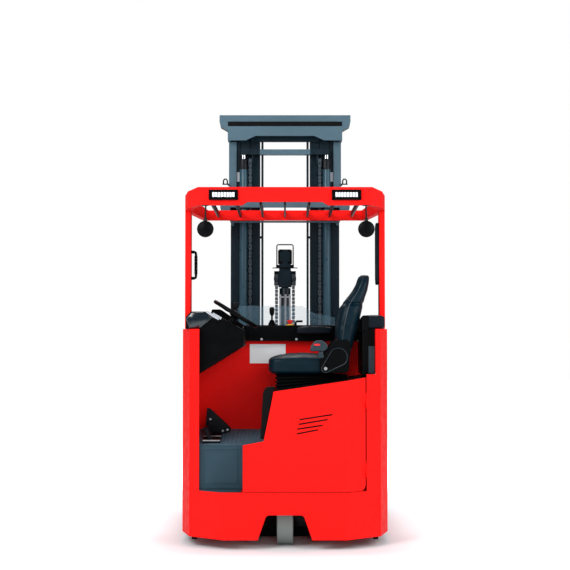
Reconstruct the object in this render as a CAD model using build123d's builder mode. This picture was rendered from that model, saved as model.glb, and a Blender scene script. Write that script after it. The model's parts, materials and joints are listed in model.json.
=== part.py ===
"""Sit-on reach truck with a moving triple mast, at its real size in millimetres.

x runs across the truck, y forward from the rear face to the fork tips, z up from the floor.
A depth is a distance forward from the rear face. The origin is on the floor, in the middle.
"""
import os
from math import atan2, cos, degrees, radians, sin

from build123d import *

os.makedirs("parts", exist_ok=True)

# Driving dimensions of the whole truck
body_width = 1270
length_to_fork_face = 1330
mast_room = 345
battery_bay = 270
fork_length = 1070
skirt_bottom = 58
deck_top = 338
floor_top = 606
side_top = 1308
guard_top = 2157
mast_top = 2741
wheelbase = 1453
drive_axle_depth = 260

# Plan of the body: flat rear face, slanted facets, straight sides
half_width = body_width / 2
rear_flat_half = half_width - 267
facet_half = half_width - 56
facet_depth = 170
corner_depth = 390
leg_depth = length_to_fork_face - mast_room
body_depth = leg_depth - battery_bay
skirt_wall = 12
panel_wall = 4
panel_gap = 3
running = 0.05

rear = -(length_to_fork_face + fork_length) / 2
load_axle_depth = drive_axle_depth + wheelbase


def at(depth):
    """The y of a depth forward of the rear face."""
    return rear + depth


def block(x, depth, z, mode=Mode.ADD):
    """A box between two values of x, of depth and of z."""
    with Locations(((x[0] + x[1]) / 2, at((depth[0] + depth[1]) / 2), (z[0] + z[1]) / 2)):
        Box(x[1] - x[0], depth[1] - depth[0], z[1] - z[0], mode=mode)


def mirrored(x, depth, z, mode=Mode.ADD):
    """The same box on the right and on the left side."""
    block(x, depth, z, mode)
    block((-x[1], -x[0]), depth, z, mode)


def upright_rod(x, depth, z, radius, mode=Mode.ADD):
    """A vertical cylinder."""
    with Locations((x, at(depth), (z[0] + z[1]) / 2)):
        Cylinder(radius, z[1] - z[0], mode=mode)


def cross_rod(x, depth, z, radius, mode=Mode.ADD):
    """A cylinder along x."""
    with Locations(((x[0] + x[1]) / 2, at(depth), z)):
        Cylinder(radius, x[1] - x[0], rotation=(0, 90, 0), mode=mode)


def long_rod(x, depth, z, radius, mode=Mode.ADD):
    """A cylinder along y."""
    with Locations((x, at((depth[0] + depth[1]) / 2), z)):
        Cylinder(radius, depth[1] - depth[0], rotation=(90, 0, 0), mode=mode)


def plan_face(front, inset=0.0, mode=Mode.ADD):
    """The body's plan as a face in the sketch that is open, inset from its rear and sides."""
    right = [
        (rear_flat_half, at(0)),
        (facet_half, at(facet_depth)),
        (half_width, at(corner_depth)),
        (half_width, at(front + inset)),
    ]
    left = [(-x, y) for x, y in reversed(right)]
    plan = Polygon(*right, *left, align=None, mode=Mode.PRIVATE)
    if inset:
        offset(plan, amount=-inset, kind=Kind.INTERSECTION, mode=mode)
    else:
        add(plan, mode=mode)


def plan_ring(front, wall):
    """A wall that follows the body's plan, open towards the front."""
    plan_face(front)
    plan_face(front + wall, wall, Mode.SUBTRACT)


def hinge_knuckle(low, height, way):
    """A door hinge's knuckle with its leaf on the facet, to the right or to the left."""
    with Locations(Location((*hinge_axis, low + height / 2), (0, 0, facet_turn))):
        Cylinder(hinge_radius, height)
        with Locations((way * (leaf / 2 + 1), hinge_stand - leaf_thick / 2, 0)):
            Box(leaf, leaf_thick, height)


# Chassis base: skirt, deck and drive bay in thick plate
notch_half_bottom = 162
notch_half_top = 110
notch_top = 205
notch_round = 24
bay_half = 205
bay_wall = 10
bay_depths = (60, 460)
bay_top = 430
ring_hole = 95
reach_cylinder_x = -330
reach_cylinder_z = 125
reach_barrel_radius = 30
cylinder_pass = reach_barrel_radius + 8
stop_radius = 16
stop_drop = 18

with BuildPart() as chassis_base:
    with BuildSketch(Plane.XY.offset(skirt_bottom)):
        plan_ring(body_depth, skirt_wall)
    extrude(amount=deck_top - skirt_bottom)
    with BuildSketch(Plane.XY.offset(deck_top - skirt_wall)):
        plan_face(body_depth)
        with Locations((0, at(sum(bay_depths) / 2))):
            Rectangle(2 * bay_half, bay_depths[1] - bay_depths[0], mode=Mode.SUBTRACT)
    extrude(amount=skirt_wall)
    front_wall = (body_depth - skirt_wall, body_depth)
    block((-half_width, half_width), front_wall, (skirt_bottom, deck_top))
    with BuildSketch(Plane.XZ.offset(-at(skirt_wall + 1))) as notch:
        with BuildLine():
            Polyline((-notch_half_bottom, skirt_bottom - 1), (-notch_half_top, notch_top),
                     (notch_half_top, notch_top), (notch_half_bottom, skirt_bottom - 1), close=True)
        make_face()
        fillet(notch.vertices().group_by(Axis.Y)[-1], notch_round)
    extrude(amount=2 * skirt_wall, mode=Mode.SUBTRACT)
    outer_bay = (bay_depths[0] - bay_wall, bay_depths[1] + bay_wall)
    mirrored((bay_half, bay_half + bay_wall), outer_bay, (deck_top, bay_top))
    for wall_depths in ((outer_bay[0], bay_depths[0]), (bay_depths[1], outer_bay[1])):
        block((-bay_half, bay_half), wall_depths, (deck_top, bay_top))
    block((-bay_half, bay_half), bay_depths, (bay_top - skirt_wall, bay_top))
    upright_rod(0, drive_axle_depth, (bay_top - skirt_wall, bay_top), ring_hole, Mode.SUBTRACT)
    long_rod(reach_cylinder_x, front_wall, reach_cylinder_z, cylinder_pass, Mode.SUBTRACT)
    for stop_x in (-facet_half + 2 * stop_radius, facet_half - 2 * stop_radius):
        upright_rod(stop_x, facet_depth + 20, (skirt_bottom - stop_drop, deck_top - skirt_wall), stop_radius)
chassis_base.part.label = "chassis_base"
export_step(chassis_base.part, "parts/chassis_base.step")

# Lower frame: the tray that carries the battery and joins the legs
frame_bottom = 70
tray_top = 200
tray_plate = 20

with BuildPart() as lower_frame:
    block((-half_width, half_width), (body_depth, leg_depth), (frame_bottom, tray_top))
    inner_frame = (body_depth + tray_plate, leg_depth - tray_plate)
    block((-half_width + tray_plate, half_width - tray_plate), inner_frame,
          (frame_bottom + tray_plate / 2, tray_top - tray_plate), Mode.SUBTRACT)
    long_rod(reach_cylinder_x, (body_depth, leg_depth), reach_cylinder_z, cylinder_pass, Mode.SUBTRACT)
lower_frame.part.label = "lower_frame"
export_step(lower_frame.part, "parts/lower_frame.step")

# Reach legs: outer plate, web with the C-rail, top plate, nose and wheel axle
leg_top = 307
leg_inner = half_width - 180
leg_plate = 12
web_x = half_width - 135
rail_flange = 18
rail_bottom = 100
rail_inside = 109
leg_nose = 165
leg_end = load_axle_depth + leg_nose
load_wheel_radius = 142.5
load_wheel_width = 95
load_axle_radius = 25
pocket_depth = load_axle_depth - load_wheel_radius - 12

for side, side_name in ((1, "right"), (-1, "left")):
    with BuildPart() as leg:
        for plate_x in (web_x, half_width - leg_plate):
            with BuildSketch(Plane.YZ.offset(side * (plate_x + leg_plate / 2))) as plate:
                with BuildLine():
                    Polyline((at(leg_depth), frame_bottom), (at(pocket_depth), frame_bottom),
                             (at(leg_end), frame_bottom + 30), (at(leg_end), leg_top - 60),
                             (at(leg_end - 60), leg_top), (at(leg_depth), leg_top), close=True)
                make_face()
            extrude(amount=leg_plate / 2, both=True)
        spans = sorted((side * web_x, side * half_width))
        block(spans, (leg_depth, leg_end - 60), (leg_top - leg_plate, leg_top))
        block(spans, (leg_depth, pocket_depth), (frame_bottom, frame_bottom + leg_plate))
        block(spans, (leg_end - leg_plate, leg_end), (frame_bottom + 60, leg_top - 60))
        block(spans, (leg_depth, leg_depth + leg_plate), (frame_bottom, leg_top))
        flange_x = sorted((side * leg_inner, side * web_x))
        for flange_z in (rail_bottom, rail_bottom + rail_flange + rail_inside):
            block(flange_x, (leg_depth, leg_end - 60), (flange_z, flange_z + rail_flange))
        cross_rod(spans, load_axle_depth, load_wheel_radius, load_axle_radius)
    leg.part.label = f"reach_leg_{side_name}"
    export_step(leg.part, f"parts/reach_leg_{side_name}.step")

# Load wheels: cast hub with a polyurethane tyre, turning on the leg's axle
load_hub_radius = 118
load_wheel_x = (web_x + leg_plate + half_width - leg_plate) / 2
hub_dish = 20

for side, side_name in ((1, "right"), (-1, "left")):
    centre = side * load_wheel_x
    wheel_x = (centre - load_wheel_width / 2, centre + load_wheel_width / 2)
    with BuildPart() as hub:
        cross_rod(wheel_x, load_axle_depth, load_wheel_radius, load_hub_radius)
        for dish_x in ((wheel_x[0], wheel_x[0] + hub_dish), (wheel_x[1] - hub_dish, wheel_x[1])):
            cross_rod(dish_x, load_axle_depth, load_wheel_radius, load_hub_radius - 16, Mode.SUBTRACT)
            cross_rod(dish_x, load_axle_depth, load_wheel_radius, load_axle_radius + 18)
        cross_rod(wheel_x, load_axle_depth, load_wheel_radius, load_axle_radius + running, Mode.SUBTRACT)
    hub.part.label = f"load_hub_{side_name}"
    export_step(hub.part, f"parts/load_hub_{side_name}.step")
    with BuildPart() as tyre:
        cross_rod(wheel_x, load_axle_depth, load_wheel_radius, load_wheel_radius)
        fillet(tyre.edges().filter_by(GeomType.CIRCLE), 6)
        cross_rod(wheel_x, load_axle_depth, load_wheel_radius, load_hub_radius, Mode.SUBTRACT)
    tyre.part.label = f"load_tyre_{side_name}"
    export_step(tyre.part, f"parts/load_tyre_{side_name}.step")

# Drive unit: gearbox that hangs from a slewing ring and carries the wheel on one side
drive_radius = 171.5
drive_width = 98
drive_axle_radius = 30
slew_radius = 140
slew_gap = 0.4
slew_top = bay_top - skirt_wall - slew_gap
slew_bottom = slew_top - 28
gearbox_x = (62, 124)
gearbox_half = 62

with BuildPart() as drive_unit:
    upright_rod(0, drive_axle_depth, (slew_bottom, slew_top), slew_radius)
    gearbox_depths = (drive_axle_depth - gearbox_half, drive_axle_depth + gearbox_half)
    block((-gearbox_half, gearbox_x[1]), gearbox_depths, (2 * drive_radius + 12, slew_bottom))
    block(gearbox_x, gearbox_depths, (drive_radius, slew_bottom))
    cross_rod(gearbox_x, drive_axle_depth, drive_radius, gearbox_half)
    cross_rod((-drive_width / 2, gearbox_x[0]), drive_axle_depth, drive_radius, drive_axle_radius)
drive_unit.part.label = "drive_unit"
export_step(drive_unit.part, "parts/drive_unit.step")

drive_hub_radius = 128
drive_x = (-drive_width / 2, drive_width / 2)

with BuildPart() as drive_hub:
    cross_rod(drive_x, drive_axle_depth, drive_radius, drive_hub_radius)
    dish_x = (drive_x[0], drive_x[0] + 1.5 * hub_dish)
    cross_rod(dish_x, drive_axle_depth, drive_radius, drive_hub_radius - 16, Mode.SUBTRACT)
    cross_rod(dish_x, drive_axle_depth, drive_radius, drive_axle_radius + 24)
    cross_rod(drive_x, drive_axle_depth, drive_radius, drive_axle_radius + running, Mode.SUBTRACT)
drive_hub.part.label = "drive_hub"
export_step(drive_hub.part, "parts/drive_hub.step")

with BuildPart() as drive_tyre:
    cross_rod(drive_x, drive_axle_depth, drive_radius, drive_radius)
    fillet(drive_tyre.edges().filter_by(GeomType.CIRCLE), 8)
    cross_rod(drive_x, drive_axle_depth, drive_radius, drive_hub_radius, Mode.SUBTRACT)
drive_tyre.part.label = "drive_tyre"
export_step(drive_tyre.part, "parts/drive_tyre.step")

# Drive motor: upright on the bay's top plate, closed inside the body
motor_radius = 95
motor_height = 270

with BuildPart() as drive_motor:
    upright_rod(0, drive_axle_depth, (bay_top, bay_top + motor_height), motor_radius)
drive_motor.part.label = "drive_motor"
export_step(drive_motor.part, "parts/drive_motor.step")

# Body panels: sheet that follows the plan, with a return along each opening
door_right = half_width - 152
split_x = door_right + 2 * panel_gap
hinge_radius = 6
hinge_x = door_right + panel_gap
hinge_depth = facet_depth * (hinge_x - rear_flat_half) / (facet_half - rear_flat_half)
hinge_heights = (450, 860)
hinge_stand = hinge_radius + 0.5
knuckle = 60
leaf = 26
leaf_thick = 3
facet_turn = degrees(atan2(facet_depth, facet_half - rear_flat_half))
hinge_axis = (hinge_x + hinge_stand * sin(radians(facet_turn)),
              at(hinge_depth) - hinge_stand * cos(radians(facet_turn)))
running_gap = 0.3
upper_split_z = 1035
upper_inner_x = half_width - 87
left_inner_x = -(half_width - 118)
step_depth = 150
bulkhead_wall = 8
lower_bulkhead_top = 1000
console_top = side_top + 27
console_bottom = console_top - 102

with BuildPart() as side_panel_right:
    with BuildSketch(Plane.XY.offset(deck_top)):
        plan_ring(body_depth, panel_wall)
    extrude(amount=side_top - deck_top)
    block((-half_width, split_x), (-1, body_depth), (deck_top, side_top), Mode.SUBTRACT)
    block((split_x, upper_inner_x), (-1, body_depth), (upper_split_z, side_top), Mode.SUBTRACT)
    with BuildSketch(Plane.XY.offset(side_top - panel_wall)):
        plan_face(body_depth)
        with Locations((upper_inner_x - body_width, 0)):
            Rectangle(2 * body_width, 4 * body_width, mode=Mode.SUBTRACT)
    extrude(amount=panel_wall)
    inner_depths = (facet_depth, body_depth)
    block((upper_inner_x, upper_inner_x + panel_wall), inner_depths, (upper_split_z, side_top))
    for low in hinge_heights:
        hinge_knuckle(low - running_gap - knuckle / 2, knuckle / 2, 1)
side_panel_right.part.label = "side_panel_right"
export_step(side_panel_right.part, "parts/side_panel_right.step")

with BuildPart() as side_panel_left:
    with BuildSketch(Plane.XY.offset(deck_top)):
        plan_ring(body_depth, panel_wall)
    extrude(amount=side_top - deck_top)
    block((left_inner_x, half_width), (-1, body_depth), (deck_top, side_top), Mode.SUBTRACT)
    with BuildSketch(Plane.XY.offset(side_top - panel_wall)):
        plan_face(body_depth)
        with Locations((left_inner_x + body_width, 0)):
            Rectangle(2 * body_width, 4 * body_width, mode=Mode.SUBTRACT)
    extrude(amount=panel_wall)
    return_start = facet_depth * (-left_inner_x - rear_flat_half) / (facet_half - rear_flat_half)
    block((left_inner_x - panel_wall, left_inner_x), (return_start + panel_wall, step_depth),
          (deck_top, side_top))
side_panel_left.part.label = "side_panel_left"
export_step(side_panel_left.part, "parts/side_panel_left.step")

inner_half = half_width - panel_wall
bulkhead_depths = (body_depth - skirt_wall, body_depth - skirt_wall + bulkhead_wall)

with BuildPart() as bulkhead:
    block((-inner_half, inner_half), bulkhead_depths, (deck_top, lower_bulkhead_top))
    block((-inner_half, upper_inner_x), bulkhead_depths, (lower_bulkhead_top, console_bottom))
bulkhead.part.label = "bulkhead"
export_step(bulkhead.part, "parts/bulkhead.step")

# Operator floor: tread plate that climbs to the bulkhead, riser over the step ledge, wall beside it
floor_wall = 8
ramp_rise = 60
step_right = -250
seat_rear_x = upper_inner_x - 25
cushion_x = (seat_rear_x - 630, seat_rear_x - 193)
pedestal_x = cushion_x[0] - 20
pedestal_low = floor_top + 35
deck_left = (cushion_x[0] + 39, floor_top + 329)
deck_right = (upper_inner_x, floor_top + 420)
ramp_lean = ramp_rise * (deck_left[0] - pedestal_x) / (deck_left[1] - floor_top)


def ramp_z(depth):
    """Height of the floor's climbing part at a depth."""
    return floor_top + ramp_rise * (depth - step_depth) / (bulkhead_depths[0] - step_depth)


with BuildPart() as floor_ramp:
    with BuildSketch(Plane.XY.offset(floor_top)):
        plan_face(bulkhead_depths[0], panel_wall)
    extrude(amount=ramp_rise)
    with BuildSketch(Plane.YZ.offset(-half_width)):
        with BuildLine():
            Polyline((at(step_depth), floor_top), (at(bulkhead_depths[0]), floor_top),
                     (at(bulkhead_depths[0]), floor_top + ramp_rise), close=True)
        make_face()
    extrude(amount=body_width, mode=Mode.INTERSECT)
    with BuildSketch(Plane.XZ.offset(-at(body_depth))):
        with BuildLine():
            Polyline((-half_width, floor_top), (pedestal_x - running_gap, floor_top),
                     (pedestal_x + ramp_lean - running_gap, floor_top + ramp_rise),
                     (-half_width, floor_top + ramp_rise), close=True)
        make_face()
    extrude(amount=body_depth, mode=Mode.INTERSECT)

with BuildPart() as operator_floor:
    with BuildSketch(Plane.XY.offset(floor_top - floor_wall)):
        plan_face(body_depth, panel_wall)
    extrude(amount=floor_wall)
    block((-half_width, step_right), (0, step_depth), (deck_top, floor_top), Mode.SUBTRACT)
    block((pedestal_x, half_width), (0, body_depth), (deck_top, floor_top), Mode.SUBTRACT)
    block((-half_width, half_width), (bulkhead_depths[0], body_depth), (deck_top, floor_top), Mode.SUBTRACT)
    riser_z = (deck_top, floor_top)
    block((left_inner_x, step_right), (step_depth, step_depth + floor_wall), riser_z)
    block((step_right, step_right + floor_wall), (panel_wall + panel_gap, step_depth + floor_wall), riser_z)
    add(floor_ramp.part)
operator_floor.part.label = "operator_floor"
export_step(operator_floor.part, "parts/operator_floor.step")

# Seat deck: sloping lid over the drive bay, with the slanted pedestal side down to the floor
deck_sheet = 4
deck_slope = (deck_right[1] - deck_left[1]) / (deck_right[0] - deck_left[0])


def deck_z(x):
    """Height of the seat deck's top face at x."""
    return deck_left[1] + (x - deck_left[0]) * deck_slope


with BuildPart() as seat_deck:
    with BuildSketch(Plane.XY.offset(floor_top)):
        plan_face(bulkhead_depths[0], panel_wall + panel_gap)
    extrude(amount=side_top - floor_top)
    with BuildSketch(Plane.XZ.offset(-at(body_depth))):
        with BuildLine():
            Polyline((pedestal_x, floor_top), (deck_left[0], deck_left[1]), (deck_right[0], deck_right[1]),
                     (deck_right[0], deck_right[1] - deck_sheet),
                     (deck_left[0] + deck_sheet, deck_left[1] - deck_sheet),
                     (pedestal_x + deck_sheet, floor_top), close=True)
        make_face()
    extrude(amount=body_depth, mode=Mode.INTERSECT)
seat_deck.part.label = "seat_deck"
export_step(seat_deck.part, "parts/seat_deck.step")

# Service door: sheet over the rear face and part of the facet, on two outside hinges
door_bottom = deck_top + panel_gap
door_corner = 36
vents = [
    # x of the left end, its z, x of the right end, its z
    (86, 774, 281, 804),
    (80, 746, 253, 775),
    (73, 718, 224, 741),
    (70, 690, 195, 714),
]
vent_height = 9

with BuildPart() as service_door:
    with BuildSketch(Plane.XY.offset(door_bottom)):
        plan_ring(body_depth, panel_wall)
    extrude(amount=deck_right[1] - door_bottom)
    with BuildSketch(Plane.XZ.offset(-at(corner_depth))) as outline:
        with BuildLine():
            Polyline((step_right, door_bottom), (step_right, floor_top + 12), (pedestal_x, pedestal_low),
                     (deck_left[0] - 9, deck_left[1] - 50), (deck_left[0], deck_left[1]),
                     (door_right, deck_z(door_right)), (door_right, door_bottom), close=True)
        make_face()
        lower_corner, upper_corner = outline.vertices().sort_by(Axis.X)[-2:].sort_by(Axis.Y)
        fillet(lower_corner, door_corner)
        fillet(upper_corner, door_corner / 3)
        for left_x, left_z, right_x, right_z in vents:
            with BuildLine():
                Polyline((left_x, left_z), (right_x, right_z), (right_x, right_z - vent_height),
                         (left_x, left_z - vent_height), close=True)
            make_face(mode=Mode.SUBTRACT)
    extrude(amount=2 * corner_depth, mode=Mode.INTERSECT)
    for low in hinge_heights:
        hinge_knuckle(low, knuckle, -1)
service_door.part.label = "service_door"
export_step(service_door.part, "parts/service_door.step")

# Seat: bellows on the deck, cushion, back with a waist, recliner covers at both sides
seat_depths = (190, body_depth - 90)
cushion_z = (deck_right[1], deck_right[1] + 127)
back_foot = cushion_z[1] + 7
back_corners = [
    # distance left of the seat's rearmost point and height over the back's foot
    (209, 0), (209, 202), (187, 293), (141, 338), (98, 397), (64, 482),
    (0, 478), (13, 397), (38, 287), (64, 202), (111, 0),
]
cover_wall = 18
cover_corners = [
    # distance left of the same point and height over the cushion's foot
    (314, 14), (314, 94), (223, 214), (123, 214), (137, 14),
]

with BuildPart() as seat_bellows:
    with BuildSketch(Plane.XZ.offset(-at(seat_depths[1] - 60))):
        with BuildLine():
            left, right = cushion_x[0] + 47, cushion_x[1] + 56
            Polyline((left, deck_z(left)), (left, cushion_z[0]), (right, cushion_z[0]), (right, deck_z(right)),
                     close=True)
        make_face()
    extrude(amount=seat_depths[1] - seat_depths[0] - 90)
seat_bellows.part.label = "seat_bellows"
export_step(seat_bellows.part, "parts/seat_bellows.step")

with BuildPart() as seat_cushion:
    block(cushion_x, seat_depths, cushion_z)
    fillet(seat_cushion.edges().filter_by(Axis.Z), 70)
    fillet(seat_cushion.edges().group_by(Axis.Z)[-1], 34)
seat_cushion.part.label = "seat_cushion"
export_step(seat_cushion.part, "parts/seat_cushion.step")

with BuildPart() as seat_back:
    with BuildSketch(Plane.XZ.offset(-at(seat_depths[1]))) as profile:
        with BuildLine():
            Polyline(*[(seat_rear_x - x, back_foot + z) for x, z in back_corners], close=True)
        make_face()
        fillet(profile.vertices(), 14)
    extrude(amount=seat_depths[1] - seat_depths[0])
    with BuildSketch(Plane.YZ.offset(cushion_x[1] - 60)) as outline:
        with BuildLine():
            Polyline((at(seat_depths[0]), back_foot), (at(seat_depths[0]), back_foot + 280),
                     (at(seat_depths[0] + 80), back_foot + 490), (at(seat_depths[1] - 80), back_foot + 490),
                     (at(seat_depths[1]), back_foot + 280), (at(seat_depths[1]), back_foot), close=True)
        make_face()
        fillet(outline.vertices().filter_by(lambda v: v.Y > back_foot + 1), 60)
    extrude(amount=300, mode=Mode.INTERSECT)
seat_back.part.label = "seat_back"
export_step(seat_back.part, "parts/seat_back.step")

with BuildPart() as recliner_covers:
    for start in (seat_depths[0] - cover_wall, seat_depths[1]):
        with BuildSketch(Plane.XZ.offset(-at(start + cover_wall))) as cover:
            with BuildLine():
                Polyline(*[(seat_rear_x - x, cushion_z[0] + z) for x, z in cover_corners], close=True)
            make_face()
            fillet(cover.vertices(), 26)
        extrude(amount=cover_wall)
recliner_covers.part.label = "recliner_covers"
export_step(recliner_covers.part, "parts/recliner_covers.step")

# Trim box behind the seat and the pad on the right column
trim_x = (upper_inner_x - 78, upper_inner_x)
trim_foot = deck_right[1] + 4
trim_depths = (215, body_depth - 25)
pad_x = (half_width - 161, half_width - 24)
pad_z = (side_top, side_top + 84)
pad_depths = (215, 345)

with BuildPart() as side_trim:
    block(trim_x, trim_depths, (trim_foot, side_top - 8))
side_trim.part.label = "side_trim"
export_step(side_trim.part, "parts/side_trim.step")

with BuildPart() as rear_pad:
    block(pad_x, pad_depths, pad_z)
    fillet(rear_pad.edges().filter_by(Axis.Y), 14)
rear_pad.part.label = "rear_pad"
export_step(rear_pad.part, "parts/rear_pad.step")

# Dash: moulded wedge on the left side, with its end pod and cowl
dash_depths = (185, body_depth - 70)
wheel_centre = (330 - half_width, at(320), side_top + 92)
dash_corners = [
    # distance from the truck's side and height over the side panels' top
    (32, 0), (32, 72), (64, 106), (146, 106), (199, 97), (385, -8), (385, -103), (122, -266), (65, -300),
    (65, -5), (119, -5), (119, 0),
]
wheel_radius = 145
wheel_rim = 12
wheel_tilt = 31.5
hub_below = 21
column_radius = 22
column_length = 95
wheel_plane = Plane(origin=wheel_centre, x_dir=(cos(radians(wheel_tilt)), 0, -sin(radians(wheel_tilt))),
                    z_dir=(sin(radians(wheel_tilt)), 0, cos(radians(wheel_tilt))))
post_x = (half_width - 50, half_width - 15)
post_depths = (350, 465)

with BuildPart() as dash:
    with BuildSketch(Plane.XZ.offset(-at(dash_depths[1]))):
        with BuildLine():
            Polyline(*[(x - half_width, side_top + z) for x, z in dash_corners], close=True)
        make_face()
    extrude(amount=dash_depths[1] - dash_depths[0])
    block((-post_x[1] - 2, -post_x[0] + 2), (post_depths[0] - 2, post_depths[1] + 2),
          (side_top, side_top + 200), Mode.SUBTRACT)
    with BuildSketch(wheel_plane.offset(-column_length)):
        Circle(column_radius)
    extrude(amount=column_length - hub_below - running_gap)
dash.part.label = "dash"
export_step(dash.part, "parts/dash.step")

# Steering wheel: tilted towards the driver, on the dash's short column
with BuildPart() as steering_wheel:
    with BuildSketch(wheel_plane.offset(-hub_below)):
        Circle(34)
    extrude(amount=40)
    with BuildSketch(wheel_plane.offset(-10)):
        for turn in (90, 210, 330):
            with Locations(Location((0, 0), turn)):
                with Locations((wheel_radius / 2, 0)):
                    Rectangle(wheel_radius, 26)
    extrude(amount=12)
    with BuildSketch(Plane(origin=wheel_plane.origin, x_dir=wheel_plane.x_dir, z_dir=(0, -1, 0))):
        with Locations((wheel_radius, 0)):
            Circle(wheel_rim)
    revolve(axis=Axis(wheel_centre, tuple(wheel_plane.z_dir)))
    with BuildSketch(wheel_plane.offset(6)):
        with Locations((-wheel_radius * 0.16, -wheel_radius * 0.98)):
            Circle(17)
    extrude(amount=44)
steering_wheel.part.label = "steering_wheel"
export_step(steering_wheel.part, "parts/steering_wheel.step")

# Pedals: bracket under the dash and the plate on the floor
pedal_x = (left_inner_x + 17, left_inner_x + 122)
bracket_corners = [
    # distance from the left panel's inner edge and height over the floor
    (7, 0), (7, 224), (37, 224), (187, 74), (187, 0),
]
with BuildPart() as pedals:
    for start, end in ((205, 330), (350, 475)):
        with BuildSketch(Plane.YZ.offset(pedal_x[0])):
            with BuildLine():
                Polyline((at(start), ramp_z(start)), (at(end), ramp_z(end)), (at(end), ramp_z(end) + 22),
                         (at(start), ramp_z(start) + 22), close=True)
            make_face()
        extrude(amount=pedal_x[1] - pedal_x[0])
    with BuildSketch(Plane.XZ.offset(-at(dash_depths[1] - 5))):
        with BuildLine():
            Polyline(*[(left_inner_x + x, floor_top + z) for x, z in bracket_corners], close=True)
        make_face()
    extrude(amount=120)
    add(floor_ramp.part, mode=Mode.SUBTRACT)
pedals.part.label = "pedals"
export_step(pedals.part, "parts/pedals.step")

# Console on the mast side, armrest, levers and stop knob
console_x = (step_right - 28, trim_x[0] - 4)
console_depths = (body_depth - 65, body_depth - 4)
control_depth = console_depths[0] + 30
armrest_z = (console_top - 57, console_top - 9)
armrest_x = (73, 302)
lever_x = -84
lever_top = console_top + 117
knob_x = 33
handle_x = (61, 115)

with BuildPart() as console:
    block(console_x, console_depths, (console_bottom, console_top))
    fillet(console.edges().filter_by(Axis.X).group_by(Axis.Z)[-1], 12)
console.part.label = "console"
export_step(console.part, "parts/console.step")

with BuildPart() as armrest:
    block(armrest_x, (console_depths[0] - 72, console_depths[0] - 0.3), armrest_z)
    fillet(armrest.edges().filter_by(Axis.Z), 20)
    fillet(armrest.edges().group_by(Axis.Z)[-1], 12)
armrest.part.label = "armrest"
export_step(armrest.part, "parts/armrest.step")

with BuildPart() as controls:
    with Locations((lever_x, at(control_depth), (console_top + lever_top) / 2)):
        Cone(9, 17, lever_top - console_top)
    upright_rod(knob_x, control_depth, (console_top, console_top + 34), 19)
    handle_depths = (control_depth - 8, control_depth + 8)
    block(handle_x, handle_depths, (console_top + 14, console_top + 30))
    block((handle_x[0], handle_x[0] + 16), handle_depths, (console_top, console_top + 30))
controls.part.label = "controls"
export_step(controls.part, "parts/controls.step")

screen_foot = console_bottom - 33
screen_corners = [
    # x and height over the console's top
    (-306, 125), (110, 125), (188, 78), (323, 49),
]
with BuildPart() as clear_screen:
    with BuildSketch(Plane.XZ.offset(-at(body_depth - 4 + 6))):
        with BuildLine():
            Polyline((screen_corners[0][0], screen_foot), *[(x, console_top + z) for x, z in screen_corners],
                     (screen_corners[-1][0], screen_foot), close=True)
        make_face()
    extrude(amount=6)
clear_screen.part.label = "clear_screen"
export_step(clear_screen.part, "parts/clear_screen.step")

# Overhead guard: two posts, a folded roof frame and seven bars
guard_bottom = guard_top - 109
guard_rear = 20
guard_front_depth = leg_depth - 20
guard_front_z = (guard_top - 125, guard_top - 62)
post_head = guard_front_z[0] - 2
beam = 40
raised_half = (256, 224)
raise_by = 20
guard_plan = [
    # distance in from the truck's side and depth, from the near flat beam to the far one
    (120, guard_rear), (43, 190), (15, 350), (15, 465), (92, guard_front_depth),
]

with BuildPart() as guard_frame:
    with BuildSketch(Plane.XY.offset(guard_front_z[0])) as roof:
        with BuildLine():
            corners = [(half_width - inset, at(depth)) for inset, depth in guard_plan]
            Polyline(*corners, *[(-x, y) for x, y in reversed(corners)], close=True)
        make_face()
        offset(amount=-beam, kind=Kind.INTERSECTION, mode=Mode.SUBTRACT)
    extrude(amount=guard_top - guard_front_z[0])
    with BuildSketch(Plane.YZ.offset(-half_width)):
        with BuildLine():
            Polyline((at(guard_rear), guard_bottom), (at(guard_rear), guard_top - 16),
                     (at(guard_rear + 16), guard_top), (at(guard_front_depth), guard_front_z[1]),
                     (at(guard_front_depth), guard_front_z[0]), close=True)
        make_face()
    extrude(amount=body_width, mode=Mode.INTERSECT)
    with BuildSketch(Plane.XZ.offset(-at(guard_rear + beam + 1))):
        with BuildLine():
            Polyline((-raised_half[0], guard_bottom - 20), (-raised_half[0], guard_bottom),
                     (-raised_half[1], guard_bottom + raise_by), (raised_half[1], guard_bottom + raise_by),
                     (raised_half[0], guard_bottom), (raised_half[0], guard_bottom - 20), close=True)
        make_face()
    extrude(amount=beam + 2, mode=Mode.SUBTRACT)
guard_frame.part.label = "guard_frame"
export_step(guard_frame.part, "parts/guard_frame.step")

with BuildPart() as guard_posts:
    mirrored(post_x, post_depths, (side_top, post_head))
    for side in (1, -1):
        with BuildSketch(Plane.YZ.offset(side * sum(post_x) / 2)):
            with BuildLine():
                Polyline((at(post_depths[0]), post_head), (at(post_depths[0] - 60), post_head + 30),
                         (at(post_depths[1] + 60), post_head + 30), (at(post_depths[1]), post_head), close=True)
            make_face()
        extrude(amount=(post_x[1] - post_x[0]) / 2, both=True)
    with BuildSketch(Plane.YZ.offset(-half_width)):
        with BuildLine():
            Polyline((at(0), guard_bottom + 12), (at(guard_rear), guard_bottom),
                     (at(guard_front_depth), guard_front_z[0]), (at(guard_front_depth), guard_top),
                     (at(0), guard_top), close=True)
        make_face()
    extrude(amount=body_width, mode=Mode.SUBTRACT)
guard_posts.part.label = "guard_posts"
export_step(guard_posts.part, "parts/guard_posts.step")

bar_count = 7
bar_step = 147
bar_width = 12
bar_z = (guard_bottom + 2, guard_bottom + 40)

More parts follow.
